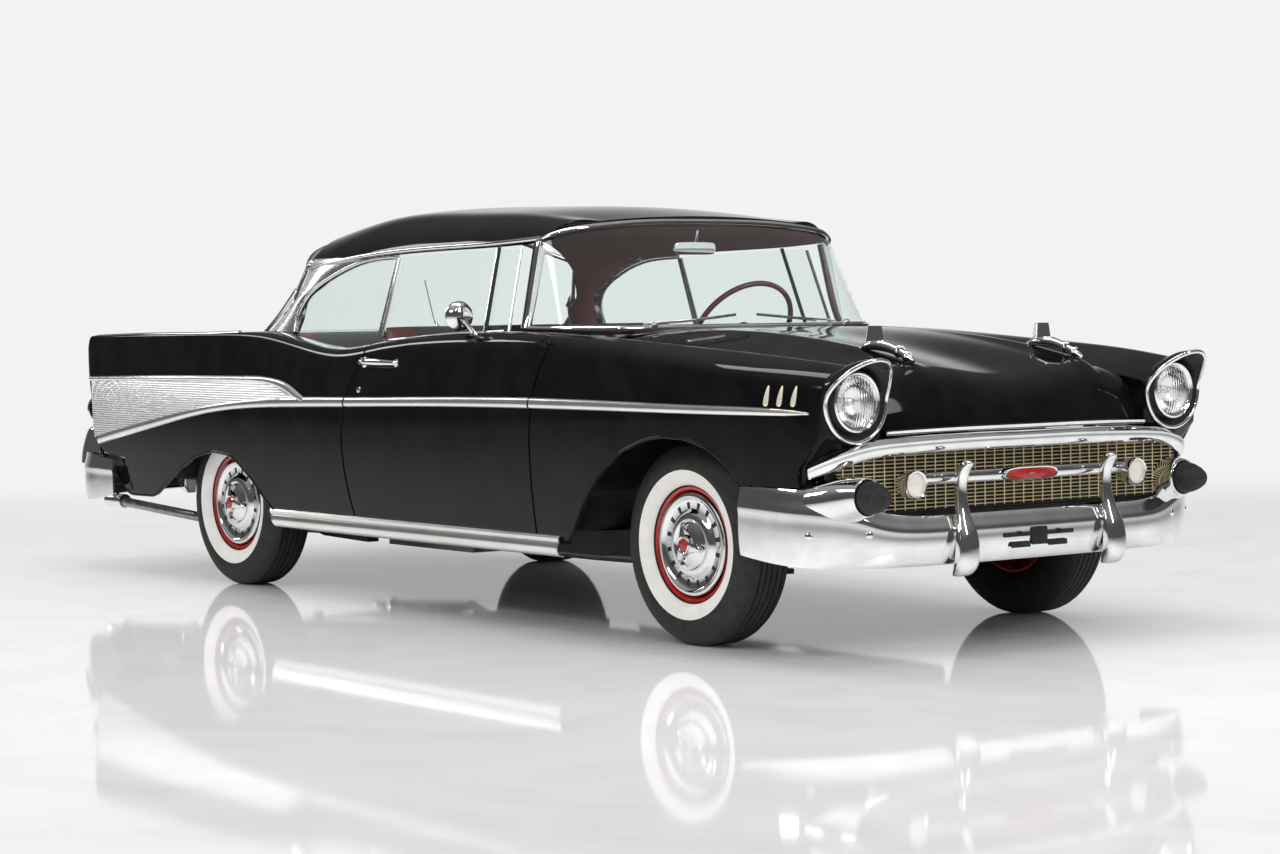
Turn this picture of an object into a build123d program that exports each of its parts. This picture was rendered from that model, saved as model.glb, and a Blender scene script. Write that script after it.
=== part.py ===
"""A two-door hardtop motor car of the late 1950s, built from its real panels, running gear and interior.

+X is the front of the car, +Y its left side and +Z up. The origin is on the ground under the
middle of the car's length. All sizes are in millimetres.
"""

from build123d import *

import os
from math import cos, pi, radians, sin

# overall sizes of the car
WHEELBASE = 2921.0
FRONT_OVERHANG = 865.0
REAR_OVERHANG = 1294.0
FRONT_TRACK = 1473.0
REAR_TRACK = 1494.0
X_FRONT_AXLE = (WHEELBASE + REAR_OVERHANG - FRONT_OVERHANG) / 2
X_REAR_AXLE = X_FRONT_AXLE - WHEELBASE
X_NOSE = X_FRONT_AXLE + FRONT_OVERHANG

# gaps and wall thicknesses
PANEL_GAP = 8.0
SEAT_GAP = 0.3
TRIM_GAP = 2.4
SKIN = 26.0
DOOR_THICKNESS = 78.0
GLASS = 6.0

# wheels and tyres
TYRE_RADIUS = 334.0
TYRE_WIDTH = 196.0
RIM_RADIUS = 192.0
RIM_WALL = 14.0
COVER_RADIUS = 170.0
DRUM_RADIUS = 140.0
SPINDLE_RADIUS = 17.0
SPINDLE_GAP = 0.5
Z_HUB = TYRE_RADIUS

# steering
KINGPIN_INSET = 86.0
Y_KINGPIN = FRONT_TRACK / 2 - KINGPIN_INSET
KINGPIN_RADIUS = 15.0
STEER_ARM = 100.0
Z_STEER_ARM = Z_HUB - 60.0

# heights of the body
Z_SILL = 330.0
Z_ROOF = 1503.0

# the two holes of a number plate
PLATE_HOLES = 178.0
PLATE_HOLE_RADIUS = 3.5

# the door's hinge line
X_HINGE = 885.0
Y_HINGE = 915.0
HINGE_PIN = 5.0
HINGE_ARM = 6.0
HINGE_HEIGHTS = (560.0, 800.0)

# the front pillars, between their outer and inner faces
PILLAR_OUT = 757.0
PILLAR_IN = 727.0

# the left body side, one row for each station along the car: distance of the station,
# half width at the sill, height and half width of the waist, of the shoulder, of the
# crown, and of the valley where the hood, the glass or the boot lid begins
SIDE_STATIONS = [
    (2360, 822, 760, 858, 880, 838, 936, 728, 852, 600),
    (2150, 868, 770, 905, 900, 888, 958, 768, 885, 600),
    (1675, 900, 775, 933, 940, 905, 990, 805, 945, 618),
    (1100, 905, 780, 933, 970, 893, 1022, 835, 1004, 655),
    (500, 905, 775, 930, 975, 885, 1027, 835, 1030, 775),
    (-100, 905, 765, 930, 950, 890, 992, 845, 992, 775),
    (-403, 905, 765, 930, 925, 892, 964, 848, 964, 775),
    (-968, 905, 765, 933, 985, 895, 1022, 865, 1024, 775),
    (-1246, 905, 765, 935, 1000, 905, 1020, 882, 1006, 700),
    (-1800, 900, 765, 935, 995, 912, 1015, 892, 968, 640),
    (-2300, 880, 770, 925, 985, 905, 1006, 888, 930, 620),
]
SIDE_BULGES = (10, 4, 8, 2)

# outlines on the body side, (distance, height)
DOOR_FRONT_EDGE = [(941, 320), (937, 660), (948, 803), (968, 900), (1000, 985), (955, 990), (955, 1060)]
DOOR_REAR_EDGE = [(-214, 320), (-238, 402), (-262, 516), (-272, 640), (-247, 781), (-211, 868),
                  (-172, 935), (-150, 1100)]
FRONT_ARCH = [(1095, 100), (1106, 255), (1151, 341), (1223, 443), (1328, 551), (1455, 633), (1588, 678),
              (1680, 690), (1790, 688), (1907, 663), (1998, 608), (2062, 548), (2440, 548), (2440, 100)]
REAR_ARCH = [(-1790, 100), (-1766, 343), (-1556, 449), (-1401, 512), (-1248, 542), (-1096, 529),
             (-950, 436), (-864, 357), (-814, 322), (-790, 100)]
DOOR_GLASS = [(590, 940), (597, 1012), (550, 1326), (180, 1322), (-224, 1308), (-234, 992), (-145, 992),
              (-145, 940)]
QUARTER_GLASS = [(-236, 1306), (-246, 885), (-640, 885), (-866, 1022), (-825, 1150), (-668, 1236),
                 (-480, 1288)]
FRONT_SPEAR = [(2335, 782), (1885, 799), (X_HINGE + 64, 803), (X_HINGE + 63, 770), (1885, 773)]
DOOR_SPEAR = [(X_HINGE + 56, 803), (338, 794), (-242, 781), (-248, 748), (338, 762), (X_HINGE + 55, 770)]
REAR_FLASH = [(-256, 779), (-540, 776), (-657, 818), (-829, 847), (-1510, 841), (-2280, 829), (-2240, 547),
              (-1256, 701), (-540, 747), (-256, 749)]
GLASS_FOOT = (766.0, 1000.0)
Y_BELT_LIP = 788.0
GLASS_LEAN = 0.303


def mirrored(shape):
    return shape.mirror(Plane.XZ)


def both_sides(shape):
    """The left piece and its mirror image on the right."""
    return Compound(children=[shape, mirrored(shape)])


def box(x, y, z):
    """A box between two distances along each axis."""
    centre = ((x[0] + x[1]) / 2, (y[0] + y[1]) / 2, (z[0] + z[1]) / 2)
    return Pos(*centre) * Box(x[1] - x[0], y[1] - y[0], z[1] - z[0])


def rod(start, end, radius):
    """A round bar from one point to another."""
    start, end = Vector(*start), Vector(*end)
    return Solid.make_cylinder(radius, (end - start).length, Plane(origin=start, z_dir=end - start))


def disc_y(x, y, z, radius, length):
    return Pos(x, y, z) * Rot(90, 0, 0) * Cylinder(radius, length)


def disc_x(x, y, z, radius, length):
    return Pos(x, y, z) * Rot(0, 90, 0) * Cylinder(radius, length)


def bent_edge(start, end, bulge):
    """An arc between two points of a cross-section that stands out by bulge."""
    chord = end - start
    out = Vector(0, chord.Z, -chord.Y).normalized()
    return Edge.make_three_point_arc(start, (start + end) * 0.5 + out * bulge, end)


def slab_loft(sections, ruled=True):
    """A solid through closed outlines, each given by its corners."""
    wires = [Wire.make_polygon([Vector(*p) for p in corners], close=True) for corners in sections]
    return Solid.make_loft(wires, ruled)


def bar(path, width, height):
    """A bar of rectangular section along X through the points of path."""
    w, h = width / 2, height / 2
    return slab_loft([[(x, y - w, z - h), (x, y + w, z - h), (x, y + w, z + h), (x, y - w, z + h)]
                      for x, y, z in path])


def pipe(path, radius, corner=60):
    """A round tube along straight runs joined by arcs."""
    wire = FilletPolyline(*path, radius=corner) if len(path) > 2 else Line(*path)
    return sweep(Plane(origin=wire @ 0, z_dir=wire % 0) * Circle(radius), path=wire)


def side_prism(outline, y=(0, 1200)):
    """The space across the car inside an outline of (x, z) corners."""
    face = Face(Wire.make_polygon([Vector(x, y[0], z) for x, z in outline], close=True))
    return Solid.extrude(face, Vector(0, y[1] - y[0], 0))


def front_prism(outline, x=(-3000, 3000)):
    """The space along the car inside an outline of (y, z) corners."""
    face = Face(Wire.make_polygon([Vector(x[0], y, z) for y, z in outline], close=True))
    return Solid.extrude(face, Vector(x[1] - x[0], 0, 0))


def plan_prism(outline, z):
    """The space between two heights inside an outline of (x, y) corners."""
    face = Face(Wire.make_polygon([Vector(x, y, z[0]) for x, y in outline], close=True))
    return Solid.extrude(face, Vector(0, 0, z[1] - z[0]))


def whole_plan(half):
    """A closed (x, y) outline from its left half, listed from the middle of one end to the other."""
    return half + [(x, -y) for x, y in reversed(half) if y != 0]


def side_points(row, inset):
    x, y_sill, z_waist, y_waist, z_shoulder, y_shoulder, z_crown, y_crown, z_valley, y_valley = row
    return [Vector(x, y_sill - inset, Z_SILL), Vector(x, y_waist - inset, z_waist),
            Vector(x, y_shoulder - inset, z_shoulder - inset * 0.45),
            Vector(x, y_crown - inset * 0.5, z_crown - inset), Vector(x, y_valley, z_valley - inset)]


def side_shell(outer, inner):
    """The body side between two depths below its outer surface, from the sill to the valley."""
    wires = []
    for row in SIDE_STATIONS:
        out, back = side_points(row, outer), side_points(row, inner)
        edges = [bent_edge(a, b, s) for a, b, s in zip(out, out[1:], SIDE_BULGES)]
        edges.append(Edge.make_line(out[-1], back[-1]))
        edges += [bent_edge(a, b, s) for a, b, s in zip(back, back[1:], SIDE_BULGES)]
        edges.append(Edge.make_line(back[0], out[0]))
        wires.append(Wire(edges))
    return Solid.make_loft(wires) - box((-1050, 956), (0, Y_BELT_LIP), (850, 1060))


def leaning_glass(outline, gap=0.0):
    """A flat side window that leans inward with height, inside an outline of (x, z)."""
    y_foot, z_foot = GLASS_FOOT
    low, high = z_foot - 130, z_foot + 400
    inner = [(y_foot - gap - (z - z_foot) * GLASS_LEAN, z) for z in (low, high)]
    outer = [(y + GLASS + 2 * gap, z) for y, z in reversed(inner)]
    return front_prism(inner + outer) & side_prism(outline)


def glass_seat(x, y, z, z_glass):
    """A channel in the body side with a slot that holds the foot of a side window."""
    slot = [(x[0] - 20, z_glass - SEAT_GAP), (x[1] + 20, z_glass - SEAT_GAP), (x[1] + 20, z[1] + 20),
            (x[0] - 20, z[1] + 20)]
    return box(x, y, z) - leaning_glass(slot, SEAT_GAP)


def make_fender(shell):
    zone = [(x + PANEL_GAP, z) for x, z in DOOR_FRONT_EDGE] + [(2600, 1060), (2600, 320)]
    return (shell & side_prism(zone)) - side_prism(FRONT_ARCH)


def make_quarter(shell):
    zone = [(x - PANEL_GAP, z) for x, z in DOOR_REAR_EDGE] + [(-2600, 1100), (-2600, 320)]
    quarter = (shell & side_prism(zone)) - side_prism(REAR_ARCH)
    face = [(612, 600), (700, 560), (880, 560), (916, 770), (900, 960), (820, 960), (700, 905), (612, 880)]
    quarter += glass_seat((-640, -262), (785, 882), (866, 900), 885) + front_prism(face, (-2309.7, -2295))
    return quarter - leaning_glass(QUARTER_GLASS, 1.0)


def make_door(shell):
    skin_zone = DOOR_FRONT_EDGE + list(reversed(DOOR_REAR_EDGE))
    skin = shell & side_prism(skin_zone)
    inner_zone = [(X_HINGE - 35, 345), (X_HINGE - 35, 1060)] + [(x + 20, z) for x, z in reversed(DOOR_REAR_EDGE)]
    inner_zone[-1] = (inner_zone[-1][0], 345)
    door = skin + (side_shell(SKIN / 2, DOOR_THICKNESS) & side_prism(inner_zone))
    door += glass_seat((-140, 590), (768, 850), (905, 955), 940)
    for z in HINGE_HEIGHTS:
        door -= box((X_HINGE - 16, X_HINGE + 120), (800, Y_HINGE + 10), (z - 18, z + 18))
        door -= Pos(X_HINGE, Y_HINGE, z + 18) * Cylinder(HINGE_PIN + SEAT_GAP, 60)
    return door


def make_hinges():
    """The brackets on the front pillar that carry the pins of one door."""
    parts = []
    for z in HINGE_HEIGHTS:
        arm = (X_HINGE - HINGE_ARM, X_HINGE + HINGE_ARM)
        bracket = box(arm, (PILLAR_OUT + SEAT_GAP, Y_HINGE), (z - 12, z + 12))
        bracket += Pos(X_HINGE, Y_HINGE, z + 12) * Cylinder(HINGE_PIN, 52)
        parts.append(bracket)
    return parts


def across(point):
    """The same point on the other side of the car."""
    return Vector(point.X, -point.Y, point.Z)


def roof_section(x, z_centre, y_shoulder, z_shoulder, y_edge, z_edge, inset):
    edge = Vector(x, y_edge - inset * 0.8, z_edge)
    shoulder = Vector(x, y_shoulder - inset * 0.3, z_shoulder - inset)
    corner = bent_edge(edge, shoulder, 28)
    crown = Edge.make_three_point_arc(shoulder, Vector(x, 0, z_centre - inset), across(shoulder))
    other = Edge.make_three_point_arc(across(shoulder), across(corner @ 0.5), across(edge))
    return [corner, crown, other], edge, across(edge)


# the roof: distance, height of the middle, half width and height of the shoulder, and of the edge
ROOF_STATIONS = [
    (752, 1443, 470, 1420, 655, 1366),
    (440, 1482, 490, 1455, 682, 1348),
    (-26, Z_ROOF - 2, 495, 1472, 690, 1336),
    (-523, Z_ROOF, 490, 1468, 694, 1310),
    (-930, 1462, 462, 1412, 668, 1270),
]
ROOF_THICKNESS = 34.0
# the rear pillar by height: height, rear and front distance, inner and outer half width
REAR_PILLAR = [
    (1009.3, -1042, -880, 722, 757),
    (1028, -1044, -874, 722, 757),
    (1160, -950, -828, 690, 722),
    (1246, -915, -672, 655, 698),
    (1300, -890, -480, 625, 684),
    (1345, -850, -470, 600, 655),
]


def make_roof():
    wires = []
    for row in ROOF_STATIONS:
        out, a, b = roof_section(*row, 0)
        back, c, d = roof_section(*row, ROOF_THICKNESS)
        wires.append(Wire(out + [Edge.make_line(b, d)] + back + [Edge.make_line(c, a)]))
    roof = Solid.make_loft(wires)
    rear = slab_loft([[(xr, yi, z), (xf, yi, z), (xf, yo, z), (xr, yo, z)] for z, xr, xf, yi, yo in REAR_PILLAR])
    front = slab_loft([[(605, 722, 1038.3), (668, 722, 1038.3), (668, 752, 1038.3), (605, 752, 1038.3)],
                       [(560, 636, 1356), (654, 636, 1356), (654, 668, 1356), (560, 668, 1356)]])
    roof &= plan_prism(whole_plan([(758, 0), (746, 430), (716, 590), (674, 662), (660, 720), (-1000, 760),
                                   (-1000, 0)]), (1000, 1600))
    for post in (rear, front):
        roof = roof + post + mirrored(post)
    return roof


def curved_glass(base, top, z_base, z_top, outline):
    """A bent window between two plan curves, each through five points, inside a (y, z) outline."""
    def strip(points, z):
        half = [Vector(x, y, z) for x, y in points]

        def run(inset):
            sign = 1 if points[-1][0] > points[0][0] else -1
            a, b, c, d = [p - Vector(sign * inset, 0 if p.Y == 0 else inset * 0.6, 0) for p in half]
            e = [across(p) for p in (c, b, a)]
            return [Edge.make_three_point_arc(a, b, c), Edge.make_three_point_arc(c, d, e[0]),
                    Edge.make_three_point_arc(e[0], e[1], e[2])], a, e[2]
        out, a, b = run(0)
        back, c, d = run(GLASS)
        return Wire(out + [Edge.make_line(b, d)] + back + [Edge.make_line(c, a)])
    pane = Solid.make_loft([strip(base, z_base), strip(top, z_top)], True)
    return pane & front_prism(outline)


# plan curves of the bent windows: end, wrap, shoulder and middle, each (x, y)
SCREEN_BASE = [(676, 745), (860, 700), (962, 540), (1020, 0)]
SCREEN_TOP = [(662, 655), (705, 590), (735, 430), (747, 0)]
BACKLIGHT_BASE = [(-1040, 722), (-1250, 656), (-1366, 500), (-1425, 0)]
BACKLIGHT_TOP = [(-850, 615), (-925, 520), (-950, 400), (-962, 0)]
BACKLIGHT_EDGE = [(-1112, 1005), (-1028, 1100), (-957, 1160), (-932, 1189), (-921, 1246), (-896, 1300),
                  (-856, 1345), (-852, 1500), (-1600, 1500), (-1600, 1005)]

# the hood across the car: half width, height at its rear, middle and front, the nose
HOOD_STATIONS = [
    (-670, 1000, 938, 862, 2335),
    (-383, 1030, 1006, 918, 2392),
    (0, 1038, 1000, 900, 2412),
    (383, 1030, 1006, 918, 2392),
    (670, 1000, 938, 862, 2335),
]
HOOD_REAR = 1100.0
HOOD_THICKNESS = 24.0
Z_HOOD_LIP = 712.0


def hood_section(y, z_rear, z_mid, z_front, x_nose):
    def curve(inset):
        rear = Vector(HOOD_REAR, y, z_rear - inset)
        mid = Vector(1700, y, z_mid - inset)
        front = Vector(x_nose - 130, y, z_front - inset)
        lip = Vector(x_nose - inset, y, Z_HOOD_LIP)
        turn = Vector(x_nose - 26 - inset * 0.8, y, z_front - 52 - inset * 0.6)
        return [Edge.make_three_point_arc(rear, mid, front), Edge.make_three_point_arc(front, turn, lip)], rear, lip
    out, a, b = curve(0)
    back, c, d = curve(HOOD_THICKNESS)
    return Wire(out + [Edge.make_line(b, d)] + back + [Edge.make_line(c, a)])


HOOD_PLAN = [(HOOD_REAR, 0), (HOOD_REAR, 643), (1200, 629), (1300, 620), (1500, 611), (X_FRONT_AXLE, 605),
             (2000, 592), (2150, 588), (2500, 588), (2500, 0)]


def make_hood():
    hood = Solid.make_loft([hood_section(*row) for row in HOOD_STATIONS])
    return hood & plan_prism(whole_plan(HOOD_PLAN), (600, 1200))


def make_hood_trim(hood):
    """The two sight ornaments on the ridges and the bright bar along the hood's lip."""
    parts = []
    for y in (383, -383):
        sight = rod((2060, y, 976), (2290, y, 938), 20)
        sight += box((2060, 2160), (y - 4, y + 4), (980, 1048))
        sight += box((2080, 2240), (y - 9, y + 9), (900, 975))
        parts.append((sight - hood).solids().sort_by(Axis.Z)[-1])
    return parts


def wrap_bar(stations):
    """A bent bumper bar. Each station gives x, y, the heading of its outer face in degrees,
    its lowest and highest point, its thickness and how far its face bulges."""
    wires = []
    other_side = [(x, -y, -angle, *rest) for x, y, angle, *rest in stations if y != 0]
    for x, y, angle, low, high, thick, bulge in other_side[::-1] + stations:
        out = Vector(cos(radians(angle)), sin(radians(angle)), 0)
        p, q = Vector(x, y, low), Vector(x, y, high)
        face = Edge.make_three_point_arc(p, (p + q) * 0.5 + out * bulge, q)
        back = Edge.make_three_point_arc(q - out * thick, (p + q) * 0.5 + out * (bulge - thick), p - out * thick)
        wires.append(Wire([face, Edge.make_line(q, q - out * thick), back, Edge.make_line(p - out * thick, p)]))
    return Solid.make_loft(wires, True)


FRONT_BAR = [(2436, 0, 0, 290, 450, 14, 26), (2432, 400, 5, 290, 450, 14, 26), (2412, 660, 18, 291, 452, 14, 24),
             (2360, 800, 42, 293, 462, 14, 20), (2250, 884, 72, 305, 500, 12, 14), (2062, 918, 87, 330, 545, 12, 8)]
REAR_BAR = [(-2506, 0, 180, 320, 480, 14, 24), (-2500, 400, 176, 318, 482, 14, 24),
            (-2470, 700, 160, 310, 490, 14, 20), (-2400, 872, 128, 300, 500, 12, 12),
            (-2270, 930, 99, 300, 500, 10, 6), (-2065, 932, 91, 330, 480, 10, 5)]


def make_front_bumper():
    bumper = wrap_bar(FRONT_BAR)
    for side in (1, -1):
        guard = slab_loft([[(2420, side * 335 - 30, 285), (2470, side * 335 - 30, 285),
                            (2470, side * 335 + 30, 285), (2420, side * 335 + 30, 285)],
                           [(2420, side * 330 - 34, 450), (2500, side * 330 - 34, 450),
                            (2500, side * 330 + 34, 450), (2420, side * 330 + 34, 450)],
                           [(2440, side * 328 - 24, 612), (2508, side * 328 - 20, 612),
                            (2508, side * 328 + 20, 612), (2440, side * 328 + 24, 612)]])
        pod = Pos(2392, side * 721, 520) * Rot(0, 90, 0) * Cone(98, 66, 96)
        bracket = box((2330.3, 2426), (side * 400 - 30, side * 400 + 30), (360, 440))
        bumper = bumper + guard + pod + bracket
    plate = box((2456, 2468), (-150, 150), (330, 420))
    for side in (1, -1):
        plate -= disc_x(2460, side * PLATE_HOLES / 2, 375, PLATE_HOLE_RADIUS, 60)
    return (bumper - box((2400, 2500), (-110, 110), (366, 384))) + plate


def make_bumper_tips():
    parts = []
    seat = 2440 + SEAT_GAP
    length = X_NOSE - seat
    tip = make_face([Line((0, 0), (60, 0)), ThreePointArc((60, 0), (47, 60), (12, length)),
                     Line((12, length), (0, length)), Line((0, length), (0, 0))])
    for side in (1, -1):
        parts.append(Pos(seat, side * 721, 520) * Rot(0, 90, 0) * revolve(Plane.XZ * tip, Axis.Z))
    return parts


def make_rear_bumper():
    bumper = wrap_bar(REAR_BAR)
    for side in (1, -1):
        bumper += box((-2530, -2490), (side * 330 - 32, side * 330 + 32), (300, 540))
        bumper += slab_loft([[(-2480, side * 760, 450), (-2310, side * 760, 450), (-2310, side * 900, 450),
                              (-2440, side * 850, 450)],
                             [(-2420, side * 800, 610), (-2310, side * 800, 610), (-2310, side * 900, 610),
                              (-2400, side * 880, 610)]])
        bumper += box((-2500, -2270.3), (side * 500 - 30, side * 500 + 30), (400, 440))
    return bumper


def make_grille():
    grille = box((2318, 2336.7), (-790, 790), (470, 652))
    grille += wrap_bar([(2400, 0, 0, 656, 690, 20, 8), (2396, 540, 5, 656, 690, 20, 8),
                        (2374, 700, 20, 628, 680, 20, 8), (2320, 800, 60, 630, 664, 20, 4)])
    grille += box((2330, 2384), (-520, 520), (640, 674))
    grille += box((2336, 2418), (-440, 440), (546, 580))
    for y in (400, -400):
        grille += box((2318, 2330), (y - 30, y + 30), (445 + SEAT_GAP, 480))
    return grille


def make_front():
    lamps, rings, parking = [], [], []
    for side in (1, -1):
        ring = Pos(2398.3, side * 719, 816) * Rot(0, 90, 0) * (Cylinder(126, 76) - Cylinder(92, 200))
        hood = slab_loft([[(2400, side * 719 - 110, 850), (2400, side * 719 + 110, 850), (2400, side * 719 + 70, 930),
                           (2400, side * 719 - 70, 930)],
                          [(2500, side * 719 - 30, 915), (2500, side * 719 + 30, 915), (2500, side * 719 + 22, 938),
                           (2500, side * 719 - 22, 938)]])
        rings.append(ring + (hood - disc_x(2372, side * 719, 816, 92, 400)))
        lamps.append(disc_x(2382, side * 719, 816, 91.7, 40))
        parking.append(disc_x(2388, side * 504, 562, 56, 102))
    return rings, lamps, parking


def make_frame():
    """Two box rails that narrow at the front, rise over the rear axle and are tied by cross members."""
    path = [(2330, 400, 400), (2000, 400, 400), (1500, 400, 360), (1250, 430, 300), (900, 560, 280),
            (-800, 590, 280), (-1060, 500, 440), (-1400, 500, 440), (-1700, 500, 420), (-2270, 500, 420)]
    rail = bar(path, 70, 90)
    frame = rail + mirrored(rail)
    for x, z, half, width, height in [(2290, 400, 400, 70, 70), (1675, 300, 400, 150, 90), (500, 280, 565, 90, 70),
                                      (-700, 275, 585, 90, 60), (-1750, 420, 480, 90, 60), (-2240, 420, 500, 60, 60)]:
        frame += box((x - width / 2, x + width / 2), (-half, half), (z - height / 2, z + height / 2))
    for y in (574, -574):
        frame += box((140, 260), (y - 30, y + 30), (228, 250))
    return frame


def make_floor():
    """The cabin floor with its tunnel, toe board and firewall, the cowl sides and the rear inner walls."""
    floor = box((-780, 950), (-PILLAR_OUT, PILLAR_OUT), (334, 350))
    floor += box((-880, 1000), (-130, 130), (350, 470))
    toe = side_prism([(930, 334), (930, 350), (1060, 480), (1080, 480), (945, 334)], (-PILLAR_OUT, PILLAR_OUT))
    floor += toe + box((1060, 1080), (-620, 620), (480, 974)) + box((1060, 1080), (-PILLAR_OUT, PILLAR_OUT), (480, 900))
    for side in (1, -1):
        y = sorted((side * PILLAR_IN, side * PILLAR_OUT))
        floor += box((840, 1062), y, (340, 974))
        floor += box((-330, -290), sorted((side * 715, side * 815)), (334, 860))
        floor += box((-330, 940), sorted((side * 750, side * 812)), (290, 338))
    floor += side_prism([(-780, 334), (-780, 350), (-880, 506), (-900, 506), (-800, 334)], (-600, 600))
    floor += box((-1420, -880), (-600, 600), (490, 506))
    floor -= box((-900, 1200), (-110, 110), (300, 452))
    return floor - rod(tuple(COLUMN_FOOT), tuple(COLUMN_TOP), 25)


def make_boot_tub():
    tub = box((-2270, -1424), (-600, 600), (490, 506)) + box((-1440, -1424), (-600, 600), (500, 984.7))
    for side in (1, -1):
        house = Pos(X_REAR_AXLE, side * 730, Z_HUB) * Rot(90, 0, 0) * (Cylinder(384, 250) - Cylinder(364, 400))
        house &= box((-1700, -820), sorted((side * 605, side * 855)), (420, 800))
        inner = disc_y(X_REAR_AXLE, side * 612, Z_HUB, 384, 16) & box((-1700, -820), (-700, 700), (500, 800))
        tub += house + inner
        tub += box((-2270, -1424), sorted((side * 585, side * 600)), (490, 812))
    return tub


def make_rear_deck(grown_shell):
    """The shelf behind the rear window and the tail panel under the boot lid."""
    shelf = plan_prism(whole_plan([(-1455, 0), (-1455, 680), (-1240, 730), (-1060, 810), (-890, 810), (-890, 715),
                                   (-1130, 690), (-1270, 600), (-1345, 420), (-1380, 0)]), (985, 1009))
    shelf = (shelf - grown_shell - mirrored(grown_shell)).solids().sort_by(SortBy.VOLUME)[-1]
    tail = box((-2300, -2270.3), (-600, 600), (450, 590))
    return [shelf, tail]


BOOT_HINGE = (-1463.0, 1012.0)


def make_boot_lid():
    """The boot lid, with its crowned top and its fall to the bumper."""
    def profile(y, drop):
        x0 = BOOT_HINGE[0]
        def curve(inset):
            a, b = Vector(x0, y, 1010 - drop - inset), Vector(-2200, y, 940 - drop - inset)
            c = Vector(-2330 + inset, y, 610)
            return [Edge.make_three_point_arc(a, Vector(-1850, y, 992 - drop - inset), b),
                    Edge.make_three_point_arc(b, Vector(-2300 + inset, y, 850 - drop), c)], a, c
        out, a, b = curve(0)
        back, c, d = curve(24)
        return Wire(out + [Edge.make_line(b, d)] + back + [Edge.make_line(c, a)])
    lid = Solid.make_loft([profile(-620, 34), profile(-380, 10), profile(0, 0), profile(380, 10), profile(620, 34)])
    plan = whole_plan([(BOOT_HINGE[0], 0), (BOOT_HINGE[0], 612), (-2340, 602), (-2340, 0)])
    lid &= plan_prism(plan, (400, 1200))
    for y in (330, -330):
        lid += box((-1520, -1442), (y - 30, y + 30), (966, 985 - SEAT_GAP))
    return lid


def make_tail_lamp():
    """The round lamp at the back of the left rear quarter."""
    return disc_x(-2324, 858, 690, 56, 28 - SEAT_GAP) + disc_x(-2340, 858, 690, 44, 16)


def make_aprons(grown_shell):
    """The inner wall over one front wheel, from the firewall to the lamp, hung under the fender's inner edge."""
    wall = side_prism([(1090, 720), (1090, 980), (1675, 900), (1790, 850), (2355, 840), (2355, 720)], (662, 674))
    wall = (wall - grown_shell).solids().sort_by(Axis.Z)[0]
    foot = box((1080 + SEAT_GAP, 1092), (600, 674), (760, 890))
    post = (2285, 2318 - SEAT_GAP)
    return wall + foot + box(post, (400, 668), (720, 740)) + box(post, (400, 430), (445 + SEAT_GAP, 740))


def make_trim(shell):
    """The bright strips of the left side: those on the body, the one on the door, and the rocker's moulding."""
    band = side_shell(-5, -TRIM_GAP) & box((-2298, 2340), (700, 1000), (500, 870))
    fender_strip = band & side_prism(FRONT_SPEAR)
    rear_flash = band & side_prism(REAR_FLASH)
    door_strip = band & side_prism(DOOR_SPEAR)
    handle = rod((-150, 908, 915), (66, 920, 915), 9)
    for x in (-142, 58):
        handle += rod((x, 880, 915), (x, 914, 915), 8)
    rocker = side_prism([(1060, 262), (1080, 321), (-836, 321), (-786, 262)], (874, 897))
    rocker += side_prism([(930, 300), (930, 321), (-320, 321), (-320, 300)], (812 + SEAT_GAP, 880))
    return fender_strip, rear_flash, [door_strip, (handle - shell).solids().sort_by(Axis.Y)[-1]], rocker


def make_mirror(shell):
    """The round outside mirror on the right door, built on the left and mirrored."""
    foot = box((440, 560), (832, 866), (990, 1040)) - shell
    foot = foot.solids().sort_by(Axis.Z)[-1]
    stem = rod((500, 849, 1034), (448, 866, 1084), 8)
    return mirrored(foot + stem + disc_x(440, 868, 1086, 52, 40))


def make_antenna(shell):
    """The radio mast on the left rear quarter."""
    mast = Pos(-2150, 800, 1005) * Cylinder(14, 60) + rod((-2150, 800, 1020), (-2223, 780, 1231), 3)
    return (mast - shell).solids().sort_by(Axis.Z)[-1]


def make_seat(x_front, x_back, half, z_seat, rake, z_top):
    """A bench: its cushion and its leaning back in one piece."""
    outline = [(x_front, z_seat - 150), (x_front + 10, z_seat - 20), (x_front - 30, z_seat), (x_back + 60, z_seat - 40),
               (x_back + 60 - rake, z_top), (x_back - 40 - rake, z_top), (x_back - 60, z_seat - 150)]
    return side_prism(outline, (-half, half))


def make_dashboard():
    dash = side_prism([(960, 985), (700, 975), (660, 940), (680, 800), (760, 790), (800, 900), (960, 900)], (-715, 715))
    return dash - rod(tuple(COLUMN_FOOT), tuple(COLUMN_TOP), 25)


COLUMN_TOP = Vector(520, 380, 1020)
COLUMN_FOOT = Vector(1190, 330, 560)


def make_steering_wheel():
    axis = (COLUMN_TOP - COLUMN_FOOT).normalized()
    plane = Plane(origin=COLUMN_TOP, z_dir=axis)
    rim = plane * Torus(212, 11)
    hub = plane * (Pos(0, 0, -14) * Cylinder(36, 44))
    spokes = plane * (Pos(0, 0, -2) * Box(412, 22, 10))
    wheel = rim + hub + spokes
    return wheel - plane * (Pos(0, 0, -36) * Cylinder(12.3, 40))


def make_column():
    axis = (COLUMN_TOP - COLUMN_FOOT).normalized()
    foot = COLUMN_FOOT
    jacket = rod(tuple(foot), tuple(COLUMN_TOP - axis * 42), 24)
    shaft = rod(tuple(foot), tuple(COLUMN_TOP - axis * 18), 12)
    gear = box((1150, 1260), (290, 370), (470, 600))
    return jacket + shaft + gear


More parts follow.
